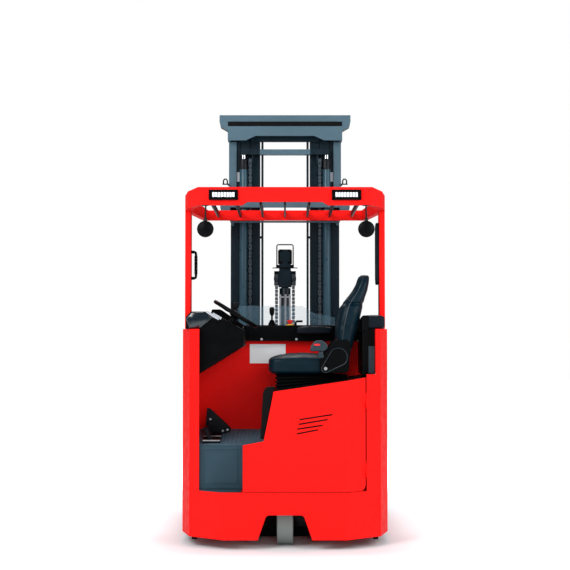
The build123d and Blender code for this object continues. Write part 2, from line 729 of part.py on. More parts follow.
with BuildPart() as guard_grille:
    for index in range(bar_count):
        bar_x = (index - (bar_count - 1) / 2) * bar_step
        block((bar_x - bar_width / 2, bar_x + bar_width / 2), (guard_rear + beam, guard_front_depth - beam), bar_z)
guard_grille.part.label = "guard_grille"
export_step(guard_grille.part, "parts/guard_grille.step")

with BuildPart() as work_lamps:
    mirrored((half_width - 355, half_width - 180), (guard_rear - 17, guard_rear), (guard_top - 81, guard_top - 19))
work_lamps.part.label = "work_lamps"
export_step(work_lamps.part, "parts/work_lamps.step")

mirror_x = half_width - 148
mirror_z = guard_bottom - 143
mirror_radius = 50
with BuildPart() as mirrors:
    for side in (1, -1):
        long_rod(side * mirror_x, (30, 54), mirror_z, mirror_radius)
        upright_rod(side * mirror_x, 42, (mirror_z, guard_bottom - 1), 7)
mirrors.part.label = "mirrors"
export_step(mirrors.part, "parts/mirrors.step")

with BuildPart() as grab_handle:
    grip_x = 29 - post_x[0]
    grip_depth = (post_depths[0] + post_depths[1]) / 2
    upright_rod(grip_x, grip_depth, (1611, 1803), 11)
    for grip_z in (1625, 1789):
        cross_rod((-post_x[0], grip_x), grip_depth, grip_z, 9)
grab_handle.part.label = "grab_handle"
export_step(grab_handle.part, "parts/grab_handle.step")

with BuildPart() as post_pad:
    block((post_x[0] - 22, post_x[0]), (post_depths[0] + 10, post_depths[1] - 10), (1584, 1970))
    fillet(post_pad.edges().filter_by(Axis.Y), 9)
post_pad.part.label = "post_pad"
export_step(post_pad.part, "parts/post_pad.step")

# Battery: one block on the tray, between the bulkhead and the mast
battery_top = 905
with BuildPart() as battery:
    block((23 - half_width, half_width - 23), (body_depth + 8, leg_depth - 8), (tray_top, battery_top))
battery.part.label = "battery"
export_step(battery.part, "parts/battery.step")

with BuildPart() as battery_cover:
    block((-half_width, half_width), (body_depth, leg_depth), (battery_top, battery_top + 40))
    fillet(battery_cover.edges().filter_by(Axis.Y).group_by(Axis.Z)[-1], 16)
battery_cover.part.label = "battery_cover"
export_step(battery_cover.part, "parts/battery_cover.step")

# Reach cylinder under the battery, and its rod to the mast's foot
reach_rod_radius = 18
rod_clearance = 0.6
reach_back = 380
beam_depths = (leg_depth + 18, leg_depth + 75)
with BuildPart() as reach_cylinder:
    long_rod(reach_cylinder_x, (reach_back, leg_depth), reach_cylinder_z, reach_barrel_radius)
    long_rod(reach_cylinder_x, (reach_back + 12, leg_depth), reach_cylinder_z,
             reach_rod_radius + rod_clearance, Mode.SUBTRACT)
    block((reach_cylinder_x - 20, reach_cylinder_x + 20), (reach_back + 15, reach_back + 45),
          (reach_cylinder_z + reach_barrel_radius - 6, deck_top - skirt_wall))
reach_cylinder.part.label = "reach_cylinder"
export_step(reach_cylinder.part, "parts/reach_cylinder.step")

with BuildPart() as reach_rod:
    long_rod(reach_cylinder_x, (reach_back + 20, beam_depths[0]), reach_cylinder_z, reach_rod_radius)
reach_rod.part.label = "reach_rod"
export_step(reach_rod.part, "parts/reach_rod.step")

# Mast rails: three nested pairs that overlap in depth, one inside the other across the truck
rail_back = beam_depths[1] + 6
rail_depth = 135
rail_front = rail_back + rail_depth
rail_thick = 14
outer_x = (half_width - 332, half_width - 270)
middle_x = (outer_x[0] - 67, outer_x[0] - 6)
inner_x = (middle_x[0] - 67, middle_x[0] - 6)
foot_z = 95
roller_radius = 48.5

# Reach carriage: cross beam under the lift cylinders, side boxes and rollers in the legs' C-rails
cheek_x = (outer_x[1], leg_inner - 14)
cheek_wall = 16
cheek_top = leg_top + 23
beam_z = (110, 240)
leg_roller_radius = 49.5
leg_rollers = [
    # depth and radius
    (rail_back - 10, leg_roller_radius), (rail_back + 84, leg_roller_radius - 6),
]
leg_roller_z = rail_bottom + rail_flange + rail_inside / 2
with BuildPart() as reach_carriage:
    block((-outer_x[1], outer_x[1]), beam_depths, beam_z)
    mirrored(outer_x, (beam_depths[0], rail_back), beam_z)
    mirrored(cheek_x, (beam_depths[0], rail_front), (foot_z, cheek_top))
    mirrored((cheek_x[0] + cheek_wall, cheek_x[1] - cheek_wall),
             (beam_depths[0] + cheek_wall, rail_front - cheek_wall), (foot_z + cheek_wall, cheek_top + 1),
             Mode.SUBTRACT)
    for roller_depth, radius in leg_rollers:
        for side in (1, -1):
            cross_rod(sorted((side * cheek_x[1], side * (leg_inner + 6))), roller_depth, leg_roller_z, 20)
            cross_rod(sorted((side * (leg_inner + 4), side * (web_x - 6))), roller_depth, leg_roller_z, radius)
reach_carriage.part.label = "reach_carriage"
export_step(reach_carriage.part, "parts/reach_carriage.step")

# Outer mast: two channels, yokes at the top and in the middle, a thin hose bar
yoke_back = leg_depth - 5
yoke_bar = 18
cylinder_x = outer_x[0] - 25
cylinder_depth = rail_back - 35
cylinder_radius = 27
lift_rod_radius = 18
cylinder_foot = 240
cylinder_top = mast_top - 290
outer_rail_top = mast_top - 41
middle_yoke_z = 2122
yokes = [
    # half width, low z, high z of the back bar, low z of the cheeks
    (outer_x[1] + 73, mast_top - 43, mast_top, mast_top - 107),
    (outer_x[1] + 67, middle_yoke_z, middle_yoke_z + 40, middle_yoke_z - 82),
]
head_plate_half = outer_x[1] + 18
head_plate_z = (mast_top - 169, mast_top - 74)
head_arch_z = mast_top - 139
head_arch_half = (outer_x[0] - 41, outer_x[0] - 107)
head_recess = 5
side_plate_x = (outer_x[0] + 23, outer_x[1] + 12)
side_plate_wall = 14
hose_bar_z = (middle_yoke_z - 102, middle_yoke_z - 90)
with BuildPart() as outer_mast:
    mirrored((outer_x[1] - rail_thick, outer_x[1]), (rail_back, rail_front), (foot_z, outer_rail_top))
    for flange_depth in (rail_back, rail_front - rail_thick):
        mirrored(outer_x, (flange_depth, flange_depth + rail_thick), (foot_z, outer_rail_top))
    for half, low, high, cheek_low in yokes:
        block((-half, half), (yoke_back, yoke_back + yoke_bar), (low, high))
        mirrored((outer_x[1], half), (yoke_back + yoke_bar, rail_back + 60), (low, high))
        for side in (1, -1):
            with BuildSketch(Plane.XZ.offset(-at(rail_back + 30))):
                with BuildLine():
                    Polyline((side * outer_x[1], low), (side * half, low), (side * (half - 6), low - 30),
                             (side * (outer_x[1] + 8), cheek_low), (side * outer_x[1], cheek_low), close=True)
                make_face()
            extrude(amount=30 + rail_back - yoke_back)
    with BuildSketch(Plane.XZ.offset(-at(yoke_back + yoke_bar))) as top_plate:
        with BuildLine():
            Polyline((-head_plate_half, head_plate_z[0]), (-head_plate_half, head_plate_z[1]),
                     (head_plate_half, head_plate_z[1]), (head_plate_half, head_plate_z[0]),
                     (head_arch_half[0], head_plate_z[0]), (head_arch_half[1], head_arch_z),
                     (-head_arch_half[1], head_arch_z), (-head_arch_half[0], head_plate_z[0]), close=True)
        make_face()
    extrude(amount=yoke_bar)
    mirrored((outer_x[1], head_plate_half), (yoke_back + yoke_bar, rail_back + 30),
             (head_plate_z[0], outer_rail_top))
    block((-head_plate_half, head_plate_half), (yoke_back + yoke_bar, yoke_back + yoke_bar + head_recess),
          (head_plate_z[1] - 8, outer_rail_top))
    mirrored(side_plate_x, (rail_back - side_plate_wall, rail_back), (middle_yoke_z + 40, head_plate_z[0]))
    block((-outer_x[1], outer_x[1]), (yoke_back, yoke_back + 8), hose_bar_z)
    mirrored((outer_x[1] - 24, outer_x[1] - 4), (yoke_back, rail_back), (hose_bar_z[0] - 14, hose_bar_z[1]))
outer_mast.part.label = "outer_mast"
export_step(outer_mast.part, "parts/outer_mast.step")

rod_top = mast_top - 261
with BuildPart() as lift_cylinders:
    for side in (1, -1):
        upright_rod(side * cylinder_x, cylinder_depth, (cylinder_foot, cylinder_top), cylinder_radius)
        upright_rod(side * cylinder_x, cylinder_depth, (cylinder_foot + 22, cylinder_top),
                    lift_rod_radius + rod_clearance, Mode.SUBTRACT)
lift_cylinders.part.label = "lift_cylinders"
export_step(lift_cylinders.part, "parts/lift_cylinders.step")

with BuildPart() as lift_rods:
    for side in (1, -1):
        upright_rod(side * cylinder_x, cylinder_depth, (cylinder_foot + 40, rod_top), lift_rod_radius)
lift_rods.part.label = "lift_rods"
export_step(lift_rods.part, "parts/lift_rods.step")


def mast_stage(x, foot, top, bottom_z, roller_x):
    """A pair of I-rails, their bottom tie and the rollers that run in the next stage out."""
    web = (x[0] + 24, x[0] + 38)
    mirrored(web, (rail_back, rail_front), (foot, top))
    for depth in (rail_back, rail_front - rail_thick):
        mirrored(x, (depth, depth + rail_thick), (foot, top))
    block((-web[1], web[1]), (rail_back + 24, rail_front - 24), bottom_z)
    for side in (1, -1):
        middle = (rail_back + rail_front) / 2
        cross_rod(sorted((side * web[1], side * (roller_x[0] + 4))), middle, foot + 80, 16)
        cross_rod(sorted((side * roller_x[0], side * roller_x[1])), middle, foot + 80, roller_radius)


# Middle mast: lifted by the two rods, with the head beam that they push and the chain sheaves
chain_x = middle_x[0] - 3
chain_half = 11
sheave_z = rod_top - 48
sheave_radius = 17
chain_thick = 9
head_beam_z = (rod_top, rod_top + 35)
middle_foot = 100
middle_tie = (middle_foot, 128)
with BuildPart() as middle_mast:
    mast_stage(middle_x, middle_foot, mast_top - 79, middle_tie, (outer_x[0] + 3, outer_x[1] - rail_thick - 5))
    block((-middle_x[1], middle_x[1]), (cylinder_depth - 27, cylinder_depth + 29), head_beam_z)
    mirrored(middle_x, (cylinder_depth - 27, rail_back), head_beam_z)
    for side in (1, -1):
        cross_rod((side * chain_x - chain_half, side * chain_x + chain_half), cylinder_depth, sheave_z,
                  sheave_radius)
        inboard = sorted((side * (chain_x - chain_half), side * (chain_x - chain_half - 10)))
        block(inboard, (cylinder_depth - 12, cylinder_depth + 12), (sheave_z - 16, rod_top))
middle_mast.part.label = "middle_mast"
export_step(middle_mast.part, "parts/middle_mast.step")

# Inner mast: lifted by the main chains, with the free-lift cylinder on its bottom tie
inner_foot = middle_tie[1] + running_gap
inner_tie = (inner_foot, inner_foot + 28)
free_depth = rail_back + 54
free_barrel_radius = 38
free_rod_radius = 25
free_barrel_top = mast_top - 1153
cross_bar_z = (mast_top - 171, mast_top - 126)
pipe_x = inner_x[0] - 17
pipe_radius = 7.5
pipe_depth = rail_back - 6 + running_gap + pipe_radius
pipe_foot = 420
with BuildPart() as inner_mast:
    mast_stage(inner_x, inner_foot, mast_top - 65, inner_tie, (middle_x[0] + 2, middle_x[0] + 20))
    block((-inner_x[1], inner_x[1]), (rail_back - 22, rail_back - 6), cross_bar_z)
    mirrored(inner_x, (rail_back - 22, rail_back), cross_bar_z)
    for side in (1, -1):
        upright_rod(side * pipe_x, pipe_depth, (pipe_foot, cross_bar_z[1] - 10), pipe_radius)
    mirrored((pipe_x - 4, pipe_x + 4), (rail_back - 8, pipe_depth), (cross_bar_z[0] + 12, cross_bar_z[1] - 18))
    for clip_z in (pipe_foot + 80, pipe_foot + 900, pipe_foot + 1500):
        mirrored((pipe_x, inner_x[0] + 3), (rail_back + 2, rail_back + 8), (clip_z, clip_z + 16))
    upright_rod(0, free_depth, (inner_tie[1], free_barrel_top), free_barrel_radius)
    upright_rod(0, free_depth, (inner_tie[1] + 20, free_barrel_top), free_rod_radius + rod_clearance,
                Mode.SUBTRACT)
inner_mast.part.label = "inner_mast"
export_step(inner_mast.part, "parts/inner_mast.step")

# Main chains: leaf chain over the sheaves under the middle mast's head beam
chain_foot = 270
with BuildPart() as main_chains:
    for side in (1, -1):
        with BuildSketch(Plane.YZ.offset(side * chain_x)):
            with Locations((at(cylinder_depth), sheave_z)):
                Circle(sheave_radius + chain_thick)
            with Locations((at(cylinder_depth), (sheave_z + chain_foot) / 2)):
                Rectangle(2 * (sheave_radius + chain_thick), sheave_z - chain_foot)
            with Locations((at(cylinder_depth), sheave_z)):
                Circle(sheave_radius, mode=Mode.SUBTRACT)
            with Locations((at(cylinder_depth), (sheave_z + chain_foot - 1) / 2)):
                Rectangle(2 * sheave_radius, sheave_z - chain_foot + 1, mode=Mode.SUBTRACT)
        extrude(amount=chain_half, both=True)
main_chains.part.label = "main_chains"
export_step(main_chains.part, "parts/main_chains.step")

# Free lift: crosshead on the rod of the inner mast's cylinder, with two sheaves and their chains
crosshead_z = (free_barrel_top + 6, free_barrel_top + 115)
free_chain_x = 57
free_sheave_radius = 36
free_sheave_z = free_barrel_top + 64
free_chain_thick = 10
free_chain_feet = [
    # rear or front strand, height of its lower end
    (-1, inner_tie[1] + 16),
    (1, inner_tie[1] + 364),
]
with BuildPart() as crosshead:
    upright_rod(0, free_depth, (560, crosshead_z[0]), free_rod_radius)
    block((-44, 44), (free_depth - 34, free_depth + 34), crosshead_z)
    cross_rod((-72, 72), free_depth, free_sheave_z, 12)
    for side in (1, -1):
        cross_rod((side * free_chain_x - 11, side * free_chain_x + 11), free_depth, free_sheave_z,
                  free_sheave_radius)
    block((-40, 40), (free_depth - 30, free_depth + 30), (crosshead_z[1], crosshead_z[1] + 146))
crosshead.part.label = "crosshead"
export_step(crosshead.part, "parts/crosshead.step")

with BuildPart() as free_chains:
    for side in (1, -1):
        with BuildSketch(Plane.YZ.offset(side * free_chain_x)):
            with Locations((at(free_depth), free_sheave_z)):
                Circle(free_sheave_radius + free_chain_thick)
                Circle(free_sheave_radius, mode=Mode.SUBTRACT)
            with Locations((at(free_depth), free_sheave_z - 100)):
                Rectangle(200, 200, mode=Mode.SUBTRACT)
            for way, foot in free_chain_feet:
                strand = free_depth + way * (free_sheave_radius + free_chain_thick / 2)
                with Locations((at(strand), (free_sheave_z + foot) / 2)):
                    Rectangle(free_chain_thick, free_sheave_z - foot)
        extrude(amount=11, both=True)
free_chains.part.label = "free_chains"
export_step(free_chains.part, "parts/free_chains.step")

# Lift carriage: plate in front of the rails, brackets and rollers inside them
plate_depths = (rail_front + 6, rail_front + 24)
plate_z = (92, 460)
bracket_x = (inner_x[0] - 26, inner_x[0] - 6)
with BuildPart() as lift_carriage:
    block((-280, 280), plate_depths, plate_z)
    block((-110, 110), plate_depths, (200, 400), Mode.SUBTRACT)
    mirrored(bracket_x, (rail_back + 30, plate_depths[0]), (inner_tie[1] + running_gap, 440))
    for roller_z in (255, 388):
        for side in (1, -1):
            middle = (rail_back + rail_front) / 2
            cross_rod(sorted((side * bracket_x[1], side * (inner_x[0] + 5))), middle, roller_z, 16)
            cross_rod(sorted((side * (inner_x[0] + 3), side * (inner_x[0] + 19))), middle, roller_z, roller_radius)
lift_carriage.part.label = "lift_carriage"
export_step(lift_carriage.part, "parts/lift_carriage.step")

# Side shifter: frame that hangs on the carriage's top edge, with the pins of the fork frame
shift_depths = (plate_depths[1] + 6, plate_depths[1] + 26)
shift_half = 300
pin_depth = shift_depths[1] + 25
pin_z = 463
pin_radius = 12
lug_x = (90, 110)
with BuildPart() as side_shifter:
    block((-shift_half, shift_half), shift_depths, (240, 478))
    block((-shift_half + 60, shift_half - 60), shift_depths, (300, 400), Mode.SUBTRACT)
    block((-shift_half, shift_half), (plate_depths[0], shift_depths[1]), (plate_z[1] + 0.3, 478))
    for side in (1, -1):
        block(sorted((side * lug_x[0], side * lug_x[1])), (shift_depths[0], pin_depth + 14), (pin_z - 15, pin_z + 15))
        cross_rod(sorted((side * lug_x[0], side * (lug_x[1] + 46))), pin_depth, pin_z, pin_radius)
side_shifter.part.label = "side_shifter"
export_step(side_shifter.part, "parts/side_shifter.step")

# Fork frame: two bars and their uprights, hung on the shifter's pins so that it can tilt
frame_half = 360
fork_thick = 40
frame_depths = (shift_depths[1] + 16, shift_depths[1] + 39)
bars = ((92, 150), (390, 440))
with BuildPart() as fork_frame:
    for bar_z_range in bars:
        block((-frame_half, frame_half), frame_depths, bar_z_range)
    for stay_x in ((290, 350), (112, 152)):
        mirrored(stay_x, frame_depths, (bars[0][0], bars[1][1]))
    for side in (1, -1):
        eye_x = sorted((side * (lug_x[1] + 2), side * (lug_x[1] + 42)))
        block(eye_x, frame_depths, (bars[1][0], pin_z))
        cross_rod(eye_x, pin_depth, pin_z, pin_radius + 8)
        cross_rod(eye_x, pin_depth, pin_z, pin_radius + running, Mode.SUBTRACT)
fork_frame.part.label = "fork_frame"
export_step(fork_frame.part, "parts/fork_frame.step")

# Forks: forged L shapes with a tapered blade and a rounded heel
fork_width = 100
fork_spread = 480
blade_z = (60, 100)
shank_top = 470
tip_thick = 12
taper_start = 0.45
for side, side_name in ((1, "right"), (-1, "left")):
    face = at(frame_depths[1] + fork_thick)
    tip = face + fork_length
    with BuildPart() as fork:
        with BuildSketch(Plane.YZ.offset(side * fork_spread / 2)) as section:
            with BuildLine():
                Polyline((face - fork_thick, blade_z[0]), (face - fork_thick, shank_top), (face, shank_top),
                         (face, blade_z[1]), (tip, blade_z[1]), (tip, blade_z[1] - tip_thick),
                         (face + taper_start * fork_length, blade_z[0]), close=True)
            make_face()
            fillet(section.vertices().sort_by(Axis.X)[:2].sort_by(Axis.Y)[0], 34)
        extrude(amount=fork_width / 2, both=True)
        tips = fork.edges().filter_by(Axis.Z).group_by(Axis.Y)[-1]
        chamfer(tips, 30)
    fork.part.label = f"fork_{side_name}"
    export_step(fork.part, f"parts/fork_{side_name}.step")
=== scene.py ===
import json
from math import atan2, cos, exp, pi, radians, sin, tau

import bmesh
import bpy
from mathutils import Matrix, Vector

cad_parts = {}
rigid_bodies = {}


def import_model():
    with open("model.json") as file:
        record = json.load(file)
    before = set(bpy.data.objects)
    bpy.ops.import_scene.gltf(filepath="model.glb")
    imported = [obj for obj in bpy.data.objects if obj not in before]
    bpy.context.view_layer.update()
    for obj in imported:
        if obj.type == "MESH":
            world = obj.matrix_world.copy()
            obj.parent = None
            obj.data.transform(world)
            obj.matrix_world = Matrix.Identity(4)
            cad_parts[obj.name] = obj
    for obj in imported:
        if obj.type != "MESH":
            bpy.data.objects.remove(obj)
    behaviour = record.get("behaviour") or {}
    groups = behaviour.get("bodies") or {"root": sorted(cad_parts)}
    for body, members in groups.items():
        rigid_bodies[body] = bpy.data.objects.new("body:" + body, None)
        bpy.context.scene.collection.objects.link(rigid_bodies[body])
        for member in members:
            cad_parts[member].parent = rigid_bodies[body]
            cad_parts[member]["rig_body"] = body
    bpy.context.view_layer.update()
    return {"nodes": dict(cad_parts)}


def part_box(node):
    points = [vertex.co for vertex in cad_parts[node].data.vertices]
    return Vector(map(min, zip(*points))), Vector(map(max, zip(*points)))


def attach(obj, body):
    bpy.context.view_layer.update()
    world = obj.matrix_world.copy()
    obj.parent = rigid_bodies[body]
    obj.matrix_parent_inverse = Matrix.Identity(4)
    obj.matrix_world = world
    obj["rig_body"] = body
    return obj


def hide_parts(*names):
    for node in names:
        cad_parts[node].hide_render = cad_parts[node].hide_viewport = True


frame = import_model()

nodes = frame["nodes"]

# Skirt and drive bay: thick laser-cut plate, folded to the truck's plan and welded up,
# then blasted and powder coated red. Its cut edges are ground round before the coat.
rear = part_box("chassis_base")[0].y
skirt_edge = 2.2


def tint(red, green, blue):
    """A colour from 0 to 255, as the shader takes it."""
    return (*((value / 255) ** 2.2 for value in (red, green, blue)), 1.0)


def grain_noise(tree, place, scale, detail=2.0):
    """Noise over the piece's own place, with its scale in patches per metre."""
    made = tree.nodes.new("ShaderNodeTexNoise")
    made.inputs["Scale"].default_value = scale
    made.inputs["Detail"].default_value = detail
    tree.links.new(place.outputs["Object"], made.inputs["Vector"])
    return made.outputs["Fac"]


def spread(tree, source, low, high):
    """The noise's middle range, stretched to run from low to high."""
    made = tree.nodes.new("ShaderNodeMapRange")
    made.inputs["From Min"].default_value = 0.32
    made.inputs["From Max"].default_value = 0.68
    made.inputs["To Min"].default_value = low
    made.inputs["To Max"].default_value = high
    tree.links.new(source, made.inputs["Value"])
    return made.outputs["Result"]


def two_tone(tree, factor, dark, light):
    """A colour that goes from dark to light with the factor."""
    made = tree.nodes.new("ShaderNodeMix")
    made.data_type = "RGBA"
    made.inputs["A"].default_value = dark
    made.inputs["B"].default_value = light
    tree.links.new(factor, made.inputs["Factor"])
    return made.outputs["Result"]


def shade(colour, share):
    """The same colour, lighter or darker by that share."""
    return (*(min(1.0, value * share) for value in colour[:3]), 1.0)


patches, smudges = 5.0, 24.0


def finish(name, colour, gloss_loss, metal=0.0, clear_coat=0.0, patch=0.1, grain=700, relief=0.06,
           specular=0.5):
    """A finish with slow patches in its colour, finer ones in its gloss, and a relief of fine grain."""
    made = bpy.data.materials.new(name)
    made.use_nodes = True
    tree = made.node_tree
    shader = tree.nodes["Principled BSDF"]
    shader.inputs["Metallic"].default_value = metal
    shader.inputs["Coat Weight"].default_value = clear_coat
    shader.inputs["Coat Roughness"].default_value = 0.12
    shader.inputs["Specular IOR Level"].default_value = specular
    place = tree.nodes.new("ShaderNodeTexCoord")
    clouds = spread(tree, grain_noise(tree, place, patches, 4.0), 0.0, 1.0)
    base = two_tone(tree, clouds, shade(colour, 1 - patch), shade(colour, 1 + patch))
    tree.links.new(base, shader.inputs["Base Color"])
    rubbed = grain_noise(tree, place, smudges, 5.0)
    rough = spread(tree, rubbed, gloss_loss * 0.8, min(1.0, gloss_loss * 1.2))
    tree.links.new(rough, shader.inputs["Roughness"])
    bump = tree.nodes.new("ShaderNodeBump")
    bump.inputs["Strength"].default_value = relief
    bump.inputs["Distance"].default_value = 0.001
    tree.links.new(grain_noise(tree, place, grain, 3.0), bump.inputs["Height"])
    tree.links.new(bump.outputs["Normal"], shader.inputs["Normal"])
    return made


def round_edges(made, width, segments=2):
    """Small rounds on the piece's sharp edges, in millimetres."""
    bevel = made.modifiers.new("edges", "BEVEL")
    bevel.width = width / 1000
    bevel.segments = segments
    bevel.limit_method = "ANGLE"
    bevel.angle_limit = radians(35)
    bevel.harden_normals = True


def dress(names, coat, edge):
    """Gives finished parts of the frame their coat and their rounded edges."""
    for name in names:
        made = nodes[name]
        for slot in made.material_slots:
            slot.material = coat
        if edge:
            weld = made.modifiers.new("weld", "WELD")
            weld.merge_threshold = 1e-5
            flat = made.modifiers.new("flat faces", "DECIMATE")
            flat.decimate_type = "DISSOLVE"
            flat.angle_limit = radians(0.5)
            round_edges(made, edge)


red_coat = finish("red powder coat", tint(240, 28, 25), 0.55, patch=0.03, relief=0.05, specular=0.08)
dress(["chassis_base"], red_coat, skirt_edge)


# Body panels: 4 mm sheet, folded along the plan, with a return at each opening.
# They are screwed to the base from inside and coated in the same red.
panel_edge = 1.2
dress(["side_panel_right", "side_panel_left", "service_door"], red_coat, panel_edge)

# Vent strips: black strips set into the door's four slanted slots, each filling its slot nearly flush as
# painted shade of the slot's depth. A wider black baffle stands behind each strip against spray.
black_plastic = finish("black moulded plastic", tint(7, 9, 11), 0.5, patch=0.12, grain=1500, relief=0.12,
                       specular=0.1)
across, up = Vector((1, 0, 0)), Vector((0, 0, 1))
forward = Vector((0, 1, 0))


def spot(x, depth, z):
    """A point in the frame from millimetres across, forward of the rear face and up."""
    return Vector((x / 1000, rear + depth / 1000, z / 1000))


def add_loft(mesh, loops, closed=False):
    """A skin from each loop of points to the next, with its ends capped or joined to each other."""
    rings = [[mesh.verts.new(point) for point in loop] for loop in loops]
    pairs = list(zip(rings, rings[1:]))
    if closed:
        pairs.append((rings[-1], rings[0]))
    for near, far in pairs:
        for step in range(len(near)):
            after = (step + 1) % len(near)
            mesh.faces.new((near[step], near[after], far[after], far[step]))
    if not closed:
        mesh.faces.new(reversed(rings[0]))
        mesh.faces.new(rings[-1])


def add_plate(mesh, outline, depths):
    """A plate of that outline in x and z, between two depths."""
    add_loft(mesh, [[spot(x, depth, z) for x, z in outline] for depth in depths])


def put(name, mesh, coat, body, edge=0.0, stands_for=()):
    """Makes the piece from its mesh, with its coat, on its body."""
    bmesh.ops.recalc_face_normals(mesh, faces=mesh.faces)
    data = bpy.data.meshes.new(name)
    mesh.to_mesh(data)
    mesh.free()
    data.shade_smooth()
    data.set_sharp_from_angle(angle=radians(35))
    made = bpy.data.objects.new(name, data)
    bpy.context.scene.collection.objects.link(made)
    data.materials.append(coat)
    if edge:
        round_edges(made, edge)
    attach(made, body)
    if stands_for:
        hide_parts(*stands_for)
    return made


vents = [
    # x of the left end, its z, x of the right end, its z
    (86, 774, 281, 804), (80, 746, 253, 775), (73, 718, 224, 741), (70, 690, 195, 714),
]


def add_slanted(mesh, vent, past_end, above, below, depths):
    """A strip along a vent that runs past its ends and stands above its upper line and below it."""
    left_x, left_z, right_x, right_z = vent
    add_plate(mesh, [(left_x - past_end, left_z + above), (right_x + past_end, right_z + above),
                     (right_x + past_end, right_z - below), (left_x - past_end, left_z - below)], depths)


slot_high, slot_play = 9, 0.4
mesh = bmesh.new()
# Painted shade: black strips nearly flush in the slots, so that each slot reads dark.
for vent in vents:
    add_slanted(mesh, vent, -slot_play, -slot_play, slot_high - slot_play, (0.8, 5))
for vent in vents:
    add_slanted(mesh, vent, 4, 6, 16, (14, 16))
put("vent_shade_strips_and_baffles", mesh, black_plastic, "door", 0.5)

# Door seals: a thick black rubber edge beside the driver's legs, and a thin strip on the sill
# under the door. Both are glued to the body, so they stay when the door swings.
rubber = finish("black rubber", tint(10, 11, 13), 0.62, patch=0.1, grain=2200, relief=0.1, specular=0.15)
deck_z = 338


def add_box(mesh, x, depth, z):
    """A box between two values of x, of depth and of z."""
    low, high = spot(x[0], depth[0], z[0]), spot(x[1], depth[1], z[1])
    for corner in bmesh.ops.create_cube(mesh, size=1.0)["verts"]:
        corner.co = [(a + b) / 2 + way * (b - a) for a, b, way in zip(low, high, corner.co)]


seal_outline = [(-146, 656), (-131, 925), (-122, 948), (-100, 960), (-62, 960), (-66, 938), (-78, 880),
                (-122, 650)]
mesh = bmesh.new()
add_plate(mesh, seal_outline, (12, 150))
put("pedestal_pad", mesh, rubber, "root", 5.0)
mesh = bmesh.new()
add_box(mesh, (-246, 364), (1.5, 60), (deck_z + 0.2, deck_z + 2.6))
put("door_sill_seal", mesh, rubber, "root")

# Buffers and inner shade sheet: the two stop feet under the skirt end in rubber buffers, and a black
# sheet stands inside the skirt's front wall as painted shade, so that the skirt's inside reads dark.
foot_x, foot_depth, skirt_low = 547, 190, 58
inner_shade_sheet_half, inner_shade_sheet_top = 612, 325


def add_turned(mesh, profile, centre, axis, sides=48):
    """A turned form: its profile of (distance along the axis, radius), spun about the axis."""
    turn = axis.to_track_quat("Z", "Y")
    loops = []
    for along_axis, radius in profile:
        angles = [tau * step / sides for step in range(sides)]
        loops.append([centre + turn @ (Vector((radius * cos(angle), radius * sin(angle), along_axis)) / 1000)
                      for angle in angles])
    add_loft(mesh, loops)


mesh = bmesh.new()
for side in (1, -1):
    foot = spot(side * foot_x, foot_depth, skirt_low)
    add_turned(mesh, [(-18, 14), (-17, 17.5), (-4, 17.5), (-0.5, 17)], foot, up, 28)
# Painted shade: a black sheet inside the skirt's front wall, where the red plate would only be in shadow.
add_box(mesh, (-inner_shade_sheet_half, inner_shade_sheet_half), (700.5, 703), (skirt_low + 2, inner_shade_sheet_top))
put("skirt_buffers_and_shade_sheet", mesh, rubber, "root", 0.8)

# Deck under the seat and the wall between driver and mast: folded sheet, bolted to the base.
# The deck is a textured black lid, and the wall is coated red like the body.
dress(["seat_deck"], black_plastic, 1.5)
dress(["bulkhead"], red_coat, 1.5)

# Operator floor: steel pan in grey paint that climbs to the wall, with a studded rubber mat
# glued on it. The riser above the step has a pressed frame round a raised field.
floor_grey = finish("grey floor paint", tint(46, 68, 79), 0.5, patch=0.06, grain=900, relief=0.1,
                    specular=0.25)
mat_grey = finish("grey rubber mat", tint(74, 98, 111), 0.66, patch=0.06, grain=1600, relief=0.16,
                  specular=0.2)
dress(["operator_floor"], floor_grey, 1.2)
floor_low, floor_high = 606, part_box("operator_floor")[1].z * 1000
ramp_depths = (150, 703)


def add_ramp_box(mesh, x, depths, lifts):
    """A box that lies on the floor's slope, between two heights over it."""
    loops = []
    for depth in depths:
        rise = (floor_high - floor_low) * (depth - ramp_depths[0]) / (ramp_depths[1] - ramp_depths[0])
        floor_z = floor_low + rise
        loops.append([spot(x[0], depth, floor_z + lifts[0]), spot(x[1], depth, floor_z + lifts[0]),
                      spot(x[1], depth, floor_z + lifts[1]), spot(x[0], depth, floor_z + lifts[1])])
    add_loft(mesh, loops)


mat_x, mat_depths = (-552, -122), (160, 698)
mat_thick, stud_top, stud_pitch = 2.5, 4.5, 25
stud_long, stud_short = 8, 3
mesh = bmesh.new()
add_ramp_box(mesh, mat_x, mat_depths, (0, mat_thick))
for column in range(17):
    for row in range(21):
        stud_x = mat_x[0] + 16 + column * stud_pitch
        stud_depth = mat_depths[0] + 10 + row * stud_pitch
        wide, deep = (stud_long, stud_short) if (column + row) % 2 else (stud_short, stud_long)
        add_ramp_box(mesh, (stud_x - wide, stud_x + wide), (stud_depth, stud_depth + 2 * deep),
                     (mat_thick, stud_top))
put("floor_mat", mesh, mat_grey, "root")

riser_x, riser_z, riser_depth = (-512, -255), (346, 598), 150
frame_wide, frame_thick, field_inset = 16, 4, 30


def riser_loop(inset, depth):
    """The riser's outline, drawn in by the inset, at that depth."""
    left, right = riser_x[0] + inset, riser_x[1] - inset
    low, high = riser_z[0] + inset, riser_z[1] - inset
    corners = [(left, low), (right, low), (right, high), (left, high)]
    return [spot(x, depth, z) for x, z in corners]


mesh = bmesh.new()
frame_face = riser_depth - frame_thick
add_loft(mesh, [riser_loop(0, frame_face), riser_loop(frame_wide, frame_face),
                riser_loop(frame_wide, riser_depth), riser_loop(0, riser_depth)], closed=True)
add_box(mesh, (riser_x[0] + field_inset, riser_x[1] - field_inset), (riser_depth - 3, riser_depth),
        (riser_z[0] + field_inset, riser_z[1] - field_inset))
put("step_riser_frame", mesh, floor_grey, "root", 1.0)

